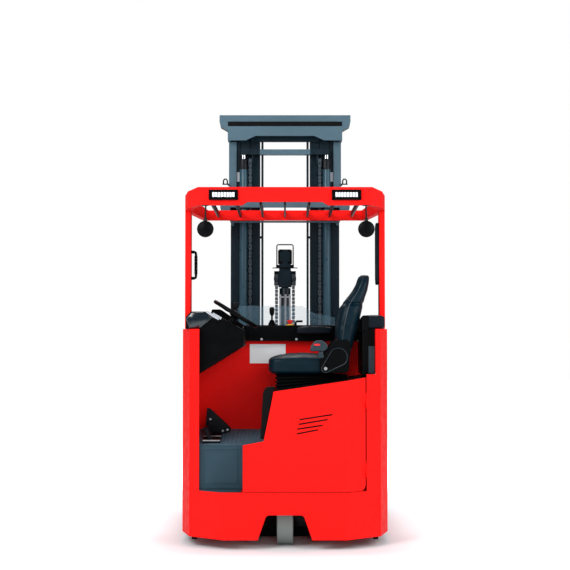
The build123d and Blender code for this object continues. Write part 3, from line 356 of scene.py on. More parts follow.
# Step mat: ribbed rubber on the ledge of the base, where the driver steps up. It is cut along
# the slanted corner of the base, a finger's width in from the edge.
facet_start, facet_slope, mat_margin = 368, 0.7235, 12
mat_left, mat_right, mat_near, mat_far = -505, -262, 30, 146
rib_pitch, rib_wide = 12, 5


def add_sheet(mesh, outline, lifts):
    """A sheet of that outline in x and depth, between two values of z."""
    add_loft(mesh, [[spot(x, depth, z) for x, depth in outline] for z in lifts])


def facet_depth(x):
    """Depth of the slanted rear face at that distance from the middle."""
    return (abs(x) - facet_start) * facet_slope


mesh = bmesh.new()
bend_x = -facet_start - (mat_near - mat_margin) / facet_slope
corner_depth = facet_depth(mat_left) + mat_margin
add_sheet(mesh, [(mat_right, mat_near), (bend_x, mat_near), (mat_left, corner_depth), (mat_left, mat_far),
                 (mat_right, mat_far)], (deck_z, deck_z + 3))
for rib in range(9):
    rib_depth = mat_near + 8 + rib * rib_pitch
    rib_left = max(mat_left + 5, -facet_start - (rib_depth - mat_margin - 4) / facet_slope)
    add_box(mesh, (rib_left, mat_right - 5), (rib_depth, rib_depth + rib_wide), (deck_z + 3, deck_z + 5))
put("step_mat", mesh, floor_grey, "root", 0.6)

# Load wheels: cast iron hubs under a bonded polyurethane tyre, on ball bearings.
# A pressed cap with its six screws closes each hub's outer face.
tyre_grey = finish("polyurethane tyre", tint(122, 131, 128), 0.5, patch=0.07, grain=500, relief=0.08)
cast_grey = finish("cast hub paint", tint(70, 74, 80), 0.55, patch=0.1, grain=420, relief=0.3)
bright_steel = finish("bright steel", tint(196, 198, 200), 0.3, metal=0.6, patch=0.06, grain=800, relief=0.04)
dress(["load_tyre_right", "load_tyre_left", "drive_tyre"], tyre_grey, 0)
dress(["load_hub_right", "load_hub_left", "drive_hub"], cast_grey, 1.5)
hub_half, screw_circle = 0.0275, 0.062


def add_rod(mesh, start, end, radius, sides=24, far_radius=None):
    """A round bar or a cone between two points."""
    way = end - start
    matrix = Matrix.Translation((start + end) / 2) @ way.to_track_quat("Z", "Y").to_matrix().to_4x4()
    bmesh.ops.create_cone(mesh, cap_ends=True, segments=sides, radius1=radius / 1000,
                          radius2=(radius if far_radius is None else far_radius) / 1000,
                          depth=way.length, matrix=matrix)


def add_bolt(mesh, seat, way, radius, height):
    """A hexagon bolt head with its washer, on the point seat, standing along way."""
    washer_top = seat + way * radius * 0.00035
    add_rod(mesh, seat, washer_top, radius * 1.5, 20)
    add_rod(mesh, washer_top, seat + way * height / 1000, radius, 6)


def wheel_ring(count, radius):
    """Places round a wheel's axle, evenly turned, at that radius in metres."""
    return [Vector((0, cos(tau * step / count), sin(tau * step / count))) * radius for step in range(count)]


for word in ("right", "left"):
    low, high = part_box(f"load_tyre_{word}")
    axle = (low + high) / 2
    mesh = bmesh.new()
    for outward in (across, -across):
        face = axle + outward * hub_half
        add_turned(mesh, [(0, 40), (8, 39), (12, 34), (13, 12), (13, 1)], face, outward, 36)
        for place in wheel_ring(6, screw_circle):
            add_bolt(mesh, face + place, outward, 7, 9)
    put(f"load_wheel_cap_{word}", mesh, bright_steel, f"load_wheel_{word}", 0.6)

# Drive unit: cast gearbox under its slewing ring, painted black. Seven nuts hold the drive
# wheel's disc to its flange, round a pressed cap.
drive_black = finish("drive unit paint", tint(14, 18, 22), 0.5, patch=0.1, grain=420, relief=0.3,
                     specular=0.2)
dress(["drive_unit"], drive_black, 1.5)
disc_half, nut_circle = 0.019, 0.084
low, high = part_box("drive_tyre")
face = (low + high) / 2 - across * disc_half
mesh = bmesh.new()
for place in wheel_ring(7, nut_circle):
    add_bolt(mesh, face + place, -across, 9, 14)
add_turned(mesh, [(0, 46), (16, 45), (22, 38), (24, 1)], face - across * 0.001, -across, 40)
put("drive_wheel_nuts", mesh, bright_steel, "drive_wheel", 0.6)

# Drive bay shade sheet: black rubber sheet that hangs behind the drive wheel, across the bay under the
# motor, down to just over the floor: painted shade, so that the bay reads dark through the notch.
shade_sheet_half, shade_sheet_low = 330, 14
mesh = bmesh.new()
# Painted shade: a black sheet where the bay behind the wheel is only in shadow.
add_box(mesh, (-shade_sheet_half, shade_sheet_half), (480, 486), (shade_sheet_low, 330))
put("drive_bay_shade_sheet", mesh, rubber, "root", 1.0)

# Battery tray and reach legs: welded plate coated red, with the rollers' C-rail inside each
# leg. The motor and the reach cylinder behind them are in dark paint.
dark_paint = finish("dark frame paint", tint(15, 20, 25), 0.44, patch=0.08, grain=650, relief=0.1,
                    specular=0.25)
dress(["lower_frame", "reach_leg_right", "reach_leg_left"], red_coat, 2.0)
dress(["drive_motor", "reach_cylinder"], dark_paint, 1.5)

# Battery: welded steel box in a rough grey coat, with pressed ribs in its sides, changed from
# the side. Its red lid has a bent grip near each end.
battery_coat = finish("battery box coat", tint(62, 66, 74), 0.5, patch=0.08, grain=600, relief=0.16)
dress(["battery"], battery_coat, 3.0)
dress(["battery_cover"], red_coat, 2.0)
cover_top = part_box("battery_cover")[1].z * 1000
grip_x, grip_depths, grip_bend, grip_rise = 380, (790, 910), 15, 34


def add_pipe(mesh, points, radius, sides=12, closed=False):
    """A round tube along the points, closed at both ends or joined to itself."""
    loops = []
    count = len(points)
    side_way = None
    for index, point in enumerate(points):
        if closed:
            way = points[(index + 1) % count] - points[index - 1]
        else:
            way = points[min(index + 1, count - 1)] - points[max(index - 1, 0)]
        way = way.normalized()
        if side_way is None:
            side_way = way.orthogonal().normalized()
        side_way = (side_way - way * side_way.dot(way)).normalized()
        up_way = way.cross(side_way)
        angles = [tau * step / sides for step in range(sides)]
        loops.append([point + radius / 1000 * (side_way * cos(angle) + up_way * sin(angle))
                      for angle in angles])
    add_loft(mesh, loops, closed)


mesh = bmesh.new()
for side in (1, -1):
    near, far = grip_depths
    grip = [(near, -1), (near, grip_rise - 8), (near + grip_bend, grip_rise), (far - grip_bend, grip_rise),
            (far, grip_rise - 8), (far, -1)]
    add_pipe(mesh, [spot(side * grip_x, depth, cover_top + rise) for depth, rise in grip], 6, 12)
put("battery_cover_grips", mesh, black_plastic, "root")
mesh = bmesh.new()
for side in (1, -1):
    for rib_z in (780, 820, 860):
        add_box(mesh, (side * 612 - 1.5, side * 612 + 1.5), (770, 930), (rib_z, rib_z + 12))
put("battery_side_ribs", mesh, battery_coat, "root", 1.0)

# Seat cushion: foam on a steel pan, in black vinyl with sewn channels across it.
# It crowns in the middle, and its sides draw in between the corners.
seat_vinyl = finish("seat vinyl", tint(7, 32, 41), 0.4, patch=0.12, grain=1300, relief=0.3, specular=0.18)
seat_piping = finish("seat piping", tint(34, 46, 54), 0.4, patch=0.1, grain=1600, relief=0.2)
channel_deep, channel_wide = 0.05, 0.035


def crowned(name, node, coat, crown, pull, channels=(), cuts=26, roundness=5.0):
    """A padded form in its node's box: crowned on top, drawn in at its sides, with sewn channels across."""
    low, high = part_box(node)
    middle, half = (low + high) / 2, (high - low) / 2
    mesh = bmesh.new()
    bmesh.ops.create_cube(mesh, size=2.0)
    bmesh.ops.subdivide_edges(mesh, edges=mesh.edges, cuts=cuts, use_grid_fill=True)
    for point in mesh.verts:
        x, y, z = point.co
        size = (abs(x) ** roundness + abs(y) ** roundness + abs(z) ** roundness) ** (1 / roundness)
        x, y, z = x / size, y / size, z / size
        swell = (1 - x * x) * (1 - y * y)
        if z > 0:
            z = z * (1 - crown) + crown * swell * 1.6 * z
            for at_x in channels:
                z -= channel_deep * exp(-((x - at_x) / channel_wide) ** 2) * (1 - y ** 6)
        y *= 1 - pull * (1 - x * x) * (1 - z * z)
        x *= 1 - pull * (1 - y * y) * (1 - z * z) * 0.6
        point.co = (middle.x + x * half.x, middle.y + y * half.y, middle.z + z * half.z)
    made = put(name, mesh, coat, "root", stands_for=(node,))


crowned("seat_cushion_cover", "seat_cushion", seat_vinyl, 0.24, 0.05, channels=(-0.55, -0.2, 0.15, 0.5))

# Seat back: foam shell with side bolsters, waisted above the arms and sewn across, with a
# welt along each side.
back_stations = [
    # z of the middle, its x, half thickness, half width
    (1160, 363, 40, 190), (1185, 363, 49, 206), (1250, 368, 60, 212), (1330, 382, 70, 213),
    (1400, 398, 72, 208), (1452, 412, 70, 196), (1500, 438, 56, 186), (1545, 464, 46, 172),
    (1590, 481, 38, 156), (1618, 487, 35, 138), (1632, 490, 32, 122), (1639, 491, 25, 110),
    (1641, 491, 16, 98),
]
back_seams = [
    # z, how far it draws in, half its width
    (1462, 0.10, 7), (1330, 0.06, 6),
]
back_middle, back_levels, back_sides = 407.5, 66, 56
back_roundness = 3.4


def along(stations, share):
    """The row of a table at a share of its length, with the values between rows on a straight line."""
    place = share * (len(stations) - 1)
    index = min(int(place), len(stations) - 2)
    part = place - index
    return [a + (b - a) * part for a, b in zip(stations[index], stations[index + 1])]


def squared(angle, roundness):
    """The cosine and sine of a turn, pushed out to a rounded square."""
    c, s = cos(angle), sin(angle)
    size = (abs(c) ** roundness + abs(s) ** roundness) ** (1 / roundness)
    return c / size, s / size


loops = []
for level in range(back_levels + 1):
    z, x, thick, wide = along(back_stations, level / back_levels)
    drawn = 1 - sum(deep * exp(-((z - seam_z) / spread_z) ** 2) for seam_z, deep, spread_z in back_seams)
    loop = []
    for step in range(back_sides):
        out, sideways = squared(tau * step / back_sides, back_roundness)
        bolster = 1 + (0.22 * sideways * sideways - 0.1 if out < 0 else 0)
        loop.append(spot(x + out * thick * bolster * drawn, back_middle + sideways * wide * drawn, z))
    loops.append(loop)
mesh = bmesh.new()
add_loft(mesh, loops)
seat_back = put("seat_back_cover", mesh, seat_vinyl, "root", stands_for=("seat_back",))
smooth = seat_back.modifiers.new("soft", "SUBSURF")
smooth.levels = smooth.render_levels = 1
mesh = bmesh.new()
for side in (1, -1):
    welt = []
    for level in range(6, 60, 2):
        z, x, thick, wide = along(back_stations, level / back_levels)
        welt.append(spot(x - 0.30 * thick, back_middle + side * wide * 0.995, z))
    add_pipe(mesh, welt, 2.6, 8)
put("seat_back_piping", mesh, seat_piping, "root")

# Bellows under the seat: black rubber folds round the suspension, moulded in one piece.
# Their foot follows the sloping deck, and their top is level.
low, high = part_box("seat_bellows")
bellows_x, bellows_depths = (low.x * 1000, high.x * 1000), (220, 565)
bellows_top, folds, fold_deep, bellows_sides = 1026, 4, 6, 64
deck_line = ((-68, 935), (548, 1026))


def deck_height(x):
    """Height of the deck's slope at that x."""
    (left_x, left_z), (right_x, right_z) = deck_line
    return left_z + (x - left_x) * (right_z - left_z) / (right_x - left_x)


loops = []
for level in range(folds * 6 + 1):
    share = level / (folds * 6)
    swell = fold_deep * cos(share * folds * tau) - fold_deep
    loop = []
    for step in range(bellows_sides):
        c, s = squared(tau * step / bellows_sides, 8)
        x = sum(bellows_x) / 2 + c * ((bellows_x[1] - bellows_x[0]) / 2 + swell)
        depth = sum(bellows_depths) / 2 + s * ((bellows_depths[1] - bellows_depths[0]) / 2 + swell)
        base = deck_height(x)
        loop.append(spot(x, depth, base + (bellows_top - base) * share))
    loops.append(loop)
mesh = bmesh.new()
add_loft(mesh, loops)
put("seat_bellows_folds", mesh, rubber, "root", stands_for=("seat_bellows",))

# Recliner covers: moulded shells screwed over the hinge at each side of the seat, with a
# raised rim round the hinge. The box behind them, beside the seat, is of the same moulding.
dress(["recliner_covers", "side_trim"], black_plastic, 4.0)
hinge_x, hinge_z = 246, 1067
cover_faces = (172, 643)
mesh = bmesh.new()
for depth, outward in zip(cover_faces, (-forward, forward)):
    add_turned(mesh, [(0, 11), (4, 10.4), (6, 8), (6.6, 1)], spot(hinge_x, depth, hinge_z), outward, 32)
put("recliner_bolts", mesh, bright_steel, "root")
small_ring, large_ring = (hinge_x, hinge_z, 24), (322, 1136, 56)
rim_lean = atan2(large_ring[1] - small_ring[1], large_ring[0] - small_ring[0])
mesh = bmesh.new()
for depth in (171.5, 643.5):
    points = []
    for (ring_x, ring_z, radius), turn in ((small_ring, rim_lean + pi), (large_ring, rim_lean)):
        for step in range(13):
            angle = turn + radians(-90 + 15 * step)
            points.append(spot(ring_x + radius * cos(angle), depth, ring_z + radius * sin(angle)))
    add_pipe(mesh, points, 2.4, 8, closed=True)
put("recliner_rims", mesh, seat_piping, "root")

# Column trim: black covers over the cables that climb from the seat to the column, clipped to
# the trim box behind the seat. The near one hides the end of the pad.
mesh = bmesh.new()
add_plate(mesh, [(468, 1296), (468, 1378), (480, 1391), (509, 1391), (509, 1296)], (205, 350))
add_box(mesh, (498, 550), (216, 350), (1290, 1311))
add_plate(mesh, [(438, 1234), (446, 1340), (462, 1378), (500, 1378), (500, 1234)], (640, 690))
put("column_trim", mesh, black_plastic, "root", 3.0)

# Trim plate and belt lock: grey cover over the wiring behind the seat, and the lap belt's
# moulded lock on its steel stalk beside the cushion, with a red button.
trim_plate = finish("grey trim plate", tint(34, 50, 58), 0.4, patch=0.08, grain=1200, relief=0.1)
red_button = finish("red button", tint(214, 24, 34), 0.3, clear_coat=0.4, patch=0.04)
mesh = bmesh.new()
add_box(mesh, (508, 546), (209, 215), (1036, 1204))
put("trim_plate", mesh, trim_plate, "root", 2.0)
lock_outline = [(150, 1172), (158, 1206), (182, 1236), (222, 1240), (252, 1222), (262, 1196), (240, 1172)]
stalk_outline = [(196, 1130), (236, 1130), (228, 1176), (204, 1176)]
mesh = bmesh.new()
add_plate(mesh, lock_outline, (150, 186))
add_plate(mesh, stalk_outline, (160, 176))
put("belt_lock", mesh, trim_plate, "root", 8.0)
mesh = bmesh.new()
add_box(mesh, (176, 212), (146, 151), (1206, 1218))
put("belt_lock_button", mesh, red_button, "root", 1.5)

# Pads: moulded foam in black vinyl, on the right column behind the driver and on the post.
# The armrest over the console is padded and covered in the same way.
pad_vinyl = finish("pad vinyl", tint(8, 22, 31), 0.5, patch=0.1, grain=1500, relief=0.24, specular=0.2)
crowned("rear_pad_cover", "rear_pad", pad_vinyl, 0.1, 0.02, cuts=16, roundness=6)
crowned("post_pad_cover", "post_pad", pad_vinyl, 0.02, 0.02, cuts=16, roundness=7)
crowned("armrest_cover", "armrest", pad_vinyl, 0.16, 0.03, cuts=16, roundness=5)

# Dash: two-shell moulding in grained black plastic, screwed to the left column.
# Its sloping face carries the display, the key switch and two rows of push buttons.
dash_plastic = finish("dash plastic", tint(3, 6, 9), 0.42, patch=0.12, grain=1300, relief=0.12, specular=0.1)
pale_trim = finish("pale trim", tint(168, 173, 180), 0.45, patch=0.04, grain=1200, relief=0.08)
screen_glass = finish("display glass", tint(20, 26, 34), 0.12, clear_coat=1.0, patch=0.05, relief=0.0)
dress(["dash"], dash_plastic, 5.0)
slope_start, slope_end = Vector((-436, 0, 1405)), Vector((-250, 0, 1300))
slope_way = (slope_end - slope_start).normalized()
slope_up = Vector((-slope_way.z, 0, slope_way.x))
panel_depths = (470, 630)


def on_slope(run, depth, lift):
    """A point on the dash's slope: so far down it, at that depth, so far above it."""
    point = slope_start + slope_way * run + slope_up * lift
    return spot(point.x, depth, point.z)


def add_slope_box(mesh, runs, depths, lifts):
    """A box that lies on the dash's slope."""
    add_loft(mesh, [[on_slope(run, depths[0], lifts[0]), on_slope(run, depths[0], lifts[1]),
                     on_slope(run, depths[1], lifts[1]), on_slope(run, depths[1], lifts[0])] for run in runs])


mesh = bmesh.new()
add_slope_box(mesh, (8, 92), panel_depths, (0, 5))
add_slope_box(mesh, (100, 196), panel_depths, (0, 4))
put("dash_panel", mesh, dash_plastic, "root", 1.4)
mesh = bmesh.new()
add_slope_box(mesh, (16, 84), (486, 614), (5, 6.4))
put("dash_display", mesh, screen_glass, "root", 0.5)
button_long, button_wide, button_pitch = 22, 20, 29
mesh = bmesh.new()
for row in range(2):
    for column in range(5):
        start, run = panel_depths[0] + 10 + column * button_pitch, 110 + row * 30
        add_slope_box(mesh, (run, run + button_wide), (start, start + button_long), (4, 8))
put("dash_buttons", mesh, pale_trim, "root", 1.2)
mesh = bmesh.new()
add_slope_box(mesh, (-2, 60), (184, 190), (-14, 2))
add_turned(mesh, [(0, 16), (5, 15.5), (9, 12), (9.5, 1)], on_slope(176, 600, 4), slope_up, 28)
put("dash_trim_strip", mesh, pale_trim, "root", 1.0)

# Instrument hood: raised black moulding under the steering wheel, screwed to the dash's slope.
# It shades the display from the lamps of the hall.
hood_outline = [(-468, 1396), (-457, 1432), (-406, 1432), (-330, 1381), (-266, 1338), (-262, 1300),
                (-436, 1396)]
mesh = bmesh.new()
for hood_depths in ((636, 649), (440, 462)):
    add_plate(mesh, hood_outline, hood_depths)
put("dash_hood", mesh, dash_plastic, "root", 4.0)

# End pod: glossy moulded cap on the dash's outer end, facing the rear of the truck, with a
# pale strip let into its inner edge. Its face is domed.
pod_gloss = finish("glossy black moulding", tint(16, 28, 36), 0.16, patch=0.1, clear_coat=0.8, relief=0.02)
pod_outline = [(-603, 1372), (-570, 1410), (-489, 1412), (-434, 1375), (-512, 1312), (-584, 1312)]
pod_middle = (sum(x for x, z in pod_outline) / 6, sum(z for x, z in pod_outline) / 6)
pod_dome = [
    # share of the outline, depth
    (1.0, 190), (1.0, 182), (0.93, 174), (0.55, 167), (0.2, 165),
]


def pod_loop(share, depth):
    """The pod's outline, drawn in to a share of itself, at that depth."""
    middle_x, middle_z = pod_middle
    return [spot(middle_x + (x - middle_x) * share, depth, middle_z + (z - middle_z) * share)
            for x, z in pod_outline]


mesh = bmesh.new()
add_loft(mesh, [pod_loop(share, depth) for share, depth in pod_dome])
put("dash_pod", mesh, pod_gloss, "root", 4.0)
mesh = bmesh.new()
add_plate(mesh, [(-489, 1414), (-470, 1418), (-404, 1378), (-400, 1360), (-434, 1377)], (168, 186))
put("dash_pod_trim", mesh, pale_trim, "root", 2.0)

# Steering wheel: steel ring and spokes under a moulded grip, with a ball knob on its rim
# for one-handed turns. It is tilted towards the driver.
wheel_centre = spot(-305, 320, 1400)
tilt = radians(31.5)
wheel_axis = Vector((sin(tilt), 0, cos(tilt)))
wheel_out = Vector((cos(tilt), 0, -sin(tilt)))
rim_radius, grip_radius, spoke_radius = 145, 12, 6
spoke_line = [
    # radius, share of the spoke's turn, height over the ring
    (26, 1.4, -6), (70, 0.6, -9), (112, 0.7, -5), (142, 1.0, 0),
]


def on_wheel(radius, angle, lift):
    """A point on the steering wheel, by its radius, its turn and its height over the ring."""
    way = wheel_out * cos(angle) + forward * sin(angle)
    return wheel_centre + way * radius / 1000 + wheel_axis * lift / 1000


mesh = bmesh.new()
add_pipe(mesh, [on_wheel(rim_radius, tau * step / 72, 0) for step in range(72)], grip_radius, 16, closed=True)
for spoke in range(3):
    angle = radians(90 + 120 * spoke)
    for turn in (-0.15, 0.15):
        add_pipe(mesh, [on_wheel(radius, angle + turn * share, lift) for radius, share, lift in spoke_line],
                 spoke_radius, 10)
hub_profile = [(-20.7, 30), (-12, 36), (6, 38), (13, 33), (17, 22), (18.5, 8), (19, 1)]
add_turned(mesh, hub_profile, wheel_centre, wheel_axis, 48)
put("steering_wheel_rim", mesh, black_plastic, "steering", stands_for=("steering_wheel",))
knob_profile = [(8, 8), (22, 8), (26, 14), (34, 19), (45, 21), (56, 18), (63, 11), (65, 1)]
mesh = bmesh.new()
add_turned(mesh, knob_profile, on_wheel(rim_radius * 0.99, radians(261), 0), wheel_axis, 32)
put("steering_knob", mesh, rubber, "steering")

# Pedals: rubber-faced plates on the floor's slope, on steel arms that hang from a bracket under
# the dash. A bright strip edges each plate.
silver_steel = finish("zinc plated steel", tint(188, 190, 192), 0.34, metal=0.9, patch=0.08, grain=500,
                      relief=0.06)
bracket_outline = [(-505, 636), (-492, 812), (-470, 808), (-342, 688), (-342, 668), (-400, 640)]
gusset_outline = [(-505, 636), (-492, 780), (-480, 776), (-372, 660), (-400, 640)]
arm_outline = [(-496, 700), (-476, 700), (-440, 626), (-462, 618)]
mesh = bmesh.new()
add_plate(mesh, bracket_outline, (520, 540))
add_plate(mesh, gusset_outline, (540, 640))
for arm_depth in (240, 390):
    add_plate(mesh, arm_outline, (arm_depth, arm_depth + 22))
add_box(mesh, (-500, -474), (240, 540), (690, 706))
put("pedal_bracket", mesh, dark_paint, "root", 3.0, stands_for=("pedals",))
mesh = bmesh.new()
for bolt_x, bolt_z in ((-470, 742), (-392, 668), (-362, 676)):
    add_bolt(mesh, spot(bolt_x, 520, bolt_z), -forward, 4.5, 5)
put("pedal_bracket_bolts", mesh, bright_steel, "root", 0.5)
pedal_x, pedal_thick, pedal_starts, pedal_long = (-500, -395), 16, (205, 350), 125
mesh = bmesh.new()
for start in pedal_starts:
    add_ramp_box(mesh, pedal_x, (start, start + pedal_long), (0, pedal_thick))
    for rib in range(6):
        rib_x = pedal_x[0] + 6 + rib * 17
        add_ramp_box(mesh, (rib_x, rib_x + 9), (start + 10, start + pedal_long - 6), (pedal_thick, 21))
put("pedal_pads", mesh, rubber, "root", 1.2)
mesh = bmesh.new()
for start in pedal_starts:
    add_ramp_box(mesh, (pedal_x[0] - 1, pedal_x[1] + 1), (start - 2, start + 12), (pedal_thick - 1, 23))
put("pedal_nosings", mesh, silver_steel, "root", 1.2)

# Console: deep moulding on the mast side, with two bolts through its band and a thin bead
# along it. A blank white plate is fixed to the wall under it.
dress(["console"], dash_plastic, 3.0)
white_plate = finish("white plate", tint(240, 242, 244), 0.4, patch=0.02, relief=0.04)
console_face = 650
mesh = bmesh.new()
for bolt_x in (-150, 74):
    add_turned(mesh, [(0, 8), (3, 7.6), (5, 5), (5.4, 1)], spot(bolt_x, console_face, 1244), -forward, 28)
put("console_bolts", mesh, pale_trim, "root")
mesh = bmesh.new()
add_box(mesh, (-276, 464), (console_face - 3, console_face), (1262, 1266))
put("console_mouldings", mesh, black_plastic, "root", 1.0)
mesh = bmesh.new()
add_box(mesh, (-227, 4), (699, 703), (1089, 1213))
put("console_plate", mesh, white_plate, "root", 0.8)

# Hand controls: hydraulic lever in its rubber gaiter, red stop knob on a yellow ring, and the
# parking handle, a bent rod. All three stand on the console's top.
yellow_ring = finish("yellow ring", tint(232, 190, 24), 0.4, patch=0.04)
red_knob = finish("red knob", tint(206, 20, 24), 0.28, clear_coat=0.4, patch=0.04)
console_top, controls_depth = 1335, 680
lever_foot, stop_foot = spot(-84, controls_depth, console_top), spot(33, controls_depth, console_top)
gaiter = [(0, 26), (6, 22), (9, 25), (15, 18), (18, 21), (24, 14), (27, 17), (33, 10), (36, 1)]
lever_profile = [(30, 6), (60, 6), (66, 12), (80, 16), (104, 17), (114, 12), (117, 1)]
mesh = bmesh.new()
add_turned(mesh, gaiter, lever_foot, up, 32)
put("lever_gaiter", mesh, rubber, "root")
mesh = bmesh.new()
add_turned(mesh, lever_profile, lever_foot, up, 32)
put("lever_grip", mesh, black_plastic, "root", stands_for=("controls",))
mesh = bmesh.new()
add_turned(mesh, [(0, 26), (4, 25), (5, 1)], stop_foot, up, 32)
put("stop_knob_ring", mesh, yellow_ring, "root")
mesh = bmesh.new()
add_turned(mesh, [(4, 11), (16, 11), (18, 19), (27, 20), (33, 15), (35, 1)], stop_foot, up, 36)
put("stop_knob", mesh, red_knob, "root")
handle_line = [(69, -1), (69, 17), (74, 24), (113, 25)]
mesh = bmesh.new()
add_pipe(mesh, [spot(x, controls_depth, console_top + lift) for x, lift in handle_line], 7, 14)
put("parking_handle", mesh, black_plastic, "root")

# Clear screen: polycarbonate sheet between the console and the mast, so that no hand gets
# into the moving mast. It is very faintly blue, with soft waves from its drawing.
clear_sheet = bpy.data.materials.new("clear polycarbonate")
clear_sheet.use_nodes = True
tree = clear_sheet.node_tree
shader = tree.nodes["Principled BSDF"]
shader.inputs["Base Color"].default_value = tint(112, 146, 164)
shader.inputs["Roughness"].default_value = 0.08
shader.inputs["Specular IOR Level"].default_value = 0.3
shader.inputs["Alpha"].default_value = 0.14
place = tree.nodes.new("ShaderNodeTexCoord")
bump = tree.nodes.new("ShaderNodeBump")
bump.inputs["Strength"].default_value = 0.02
tree.links.new(grain_noise(tree, place, 30.0), bump.inputs["Height"])
tree.links.new(bump.outputs["Normal"], shader.inputs["Normal"])
dress(["clear_screen"], clear_sheet, 0.8)

# Overhead guard: folded plate frame on two posts, welded and coated red, with flat bars in
# dark paint across its roof so that the driver can look up at the load.
dress(["guard_frame"], red_coat, 3.0)
dress(["guard_posts"], red_coat, 5.0)
dress(["guard_grille"], dark_paint, 2.0)

# Grab handle: bent steel tube with a ribbed rubber sleeve, screwed to the left post through
# a wedge-shaped foot at each end.
handle_x, handle_depth, handle_foot_x = -556, 408, -586
handle_ends = (1625, 1789)
low_end, high_end = handle_ends
handle_line = [(handle_foot_x, low_end), (handle_x - 10, low_end), (handle_x - 2, low_end + 4),
               (handle_x, low_end + 15), (handle_x, high_end - 15), (handle_x - 2, high_end - 4),
               (handle_x - 10, high_end), (handle_foot_x, high_end)]
foot_half = 9
mesh = bmesh.new()
add_pipe(mesh, [spot(x, handle_depth, z) for x, z in handle_line], 8, 16)
for ring_z in range(1652, 1764, 8):
    add_turned(mesh, [(0, 9), (1, 11), (5, 11), (6, 9)], spot(handle_x, handle_depth, ring_z), up, 24)
for end_z in handle_ends:
    foot_outline = [(handle_foot_x, end_z - foot_half), (handle_foot_x, end_z + foot_half),
                    (handle_x - 12, end_z + foot_half), (handle_x - 2, end_z + 4),
                    (handle_x - 2, end_z - 4), (handle_x - 12, end_z - foot_half)]
    add_plate(mesh, foot_outline, (handle_depth - 10, handle_depth + 10))
put("grab_handle_tube", mesh, black_plastic, "root", stands_for=("grab_handle",))

# Work lamps: finned aluminium cases in black, bolted behind the guard's rear beam, each with
# a raised rim and a row of eight clear lenses.
lens_white = finish("lamp lens", tint(232, 236, 242), 0.12, clear_coat=1.0, patch=0.03, grain=240, relief=0.3)
lamp_inner, lamp_outer, lamp_z = 280, 455, (2076, 2138)
rim_high, rim_wide, fin_pitch, cell_pitch = 10, 9, 14, 17
for side, word in ((1, "right"), (-1, "left")):
    left_x, right_x = sorted((side * lamp_inner, side * lamp_outer))
    mesh = bmesh.new()
    add_box(mesh, (left_x, right_x), (8, 20), (lamp_z[0] + 4, lamp_z[1] - 4))
    for bar_z in ((lamp_z[0], lamp_z[0] + rim_high), (lamp_z[1] - rim_high, lamp_z[1])):
        add_box(mesh, (left_x, right_x), (3, 12), bar_z)
    for bar_x in ((left_x, left_x + rim_wide), (right_x - rim_wide, right_x)):
        add_box(mesh, bar_x, (3, 12), lamp_z)
    for fin in range(12):
        fin_x = left_x + 10 + fin * fin_pitch
        add_box(mesh, (fin_x, fin_x + 2.5), (12, 19), (lamp_z[0] + 2, lamp_z[1] - 2))
    put(f"work_lamp_case_{word}", mesh, black_plastic, "root", 1.2,
        stands_for=("work_lamps",) if side == 1 else ())
    mesh = bmesh.new()
    for cell in range(8):
        cell_x = left_x + 21 + cell * cell_pitch
        add_box(mesh, (cell_x, cell_x + 14), (3.6, 8), (2094, 2122))
        add_turned(mesh, [(0, 5), (1.2, 4), (1.8, 1)], spot(cell_x + 7, 3.6, 2108), -forward, 16)
    put(f"work_lamp_lens_{word}", mesh, lens_white, "root", 1.0)
    mesh = bmesh.new()
    add_box(mesh, (left_x + rim_wide, right_x - rim_wide), (6.5, 8), (2087, 2127))
    put(f"work_lamp_face_{word}", mesh, black_plastic, "root", 0.4)

# Mirrors: convex glass in a round moulded shell, on a bent rod that is screwed under the rear
# beam. The shells' backs face the rear of the truck.
mirror_glass = finish("mirror glass", tint(236, 238, 240), 0.04, metal=1.0, patch=0.01, relief=0.0)
mirror_z, mirror_depth, arm_depth, guard_low = 1905, 54, 42, 2048
shell_profile = [(0, 46), (4, 49), (12, 50), (20, 47), (26, 36), (30, 20), (31, 1)]
for side, word, mirror_x in ((1, "right", 487), (-1, "left", 477)):
    centre = spot(side * mirror_x, mirror_depth, mirror_z)
    mesh = bmesh.new()
    add_turned(mesh, shell_profile, centre, -forward, 48)
    put(f"mirror_shell_{word}", mesh, black_plastic, "root",
        stands_for=("mirrors",) if side == 1 else ())
    mesh = bmesh.new()
    add_turned(mesh, [(-1, 44), (1, 44), (3, 30), (4, 14), (4.3, 1)], centre, forward, 48)
    put(f"mirror_glass_{word}", mesh, mirror_glass, "root")
    arm_x, arm_top_x = side * mirror_x, side * (mirror_x - 2)
    arm_line = [(arm_x, mirror_z + 40), (arm_x, mirror_z + 80), (arm_top_x, guard_low - 30),
                (arm_top_x, guard_low)]
    mesh = bmesh.new()
    add_pipe(mesh, [spot(x, arm_depth, z) for x, z in arm_line], 5, 12)
    add_rod(mesh, spot(arm_x, arm_depth, mirror_z + 66), spot(arm_x, arm_depth, mirror_z + 46), 9, 20, 12)
    add_box(mesh, (arm_x - 22, arm_x + 18), (28, 56), (guard_low - 4, guard_low))
    put(f"mirror_bracket_{word}", mesh, dark_paint, "root", 1.0)

# Reach carriage and mast: rolled sections welded into nested frames, in blue-grey paint.
# Its yokes and head plates are a lighter blue-grey than the oiled rails inside them.
plate_blue, rail_dark = tint(74, 97, 109), tint(12, 32, 41)
rail_paint = finish("mast rail paint", rail_dark, 0.36, patch=0.16, grain=650, relief=0.08, specular=0.25)
rails_start = 1.065


def sum_node(tree, source, rule, value=None):
    """A sum node that compares, joins or signs a value, with a number or with another value."""
    made = tree.nodes.new("ShaderNodeMath")
    made.operation = rule
    tree.links.new(source, made.inputs[0])
    if isinstance(value, float):
        made.inputs[1].default_value = value
    elif value is not None:
        tree.links.new(value, made.inputs[1])
    return made.outputs["Value"]


def split_axes(tree, place):
    """The three values of a place, by their letter."""
    axes = tree.nodes.new("ShaderNodeSeparateXYZ")
    tree.links.new(place.outputs["Object"], axes.inputs["Vector"])
    return axes.outputs


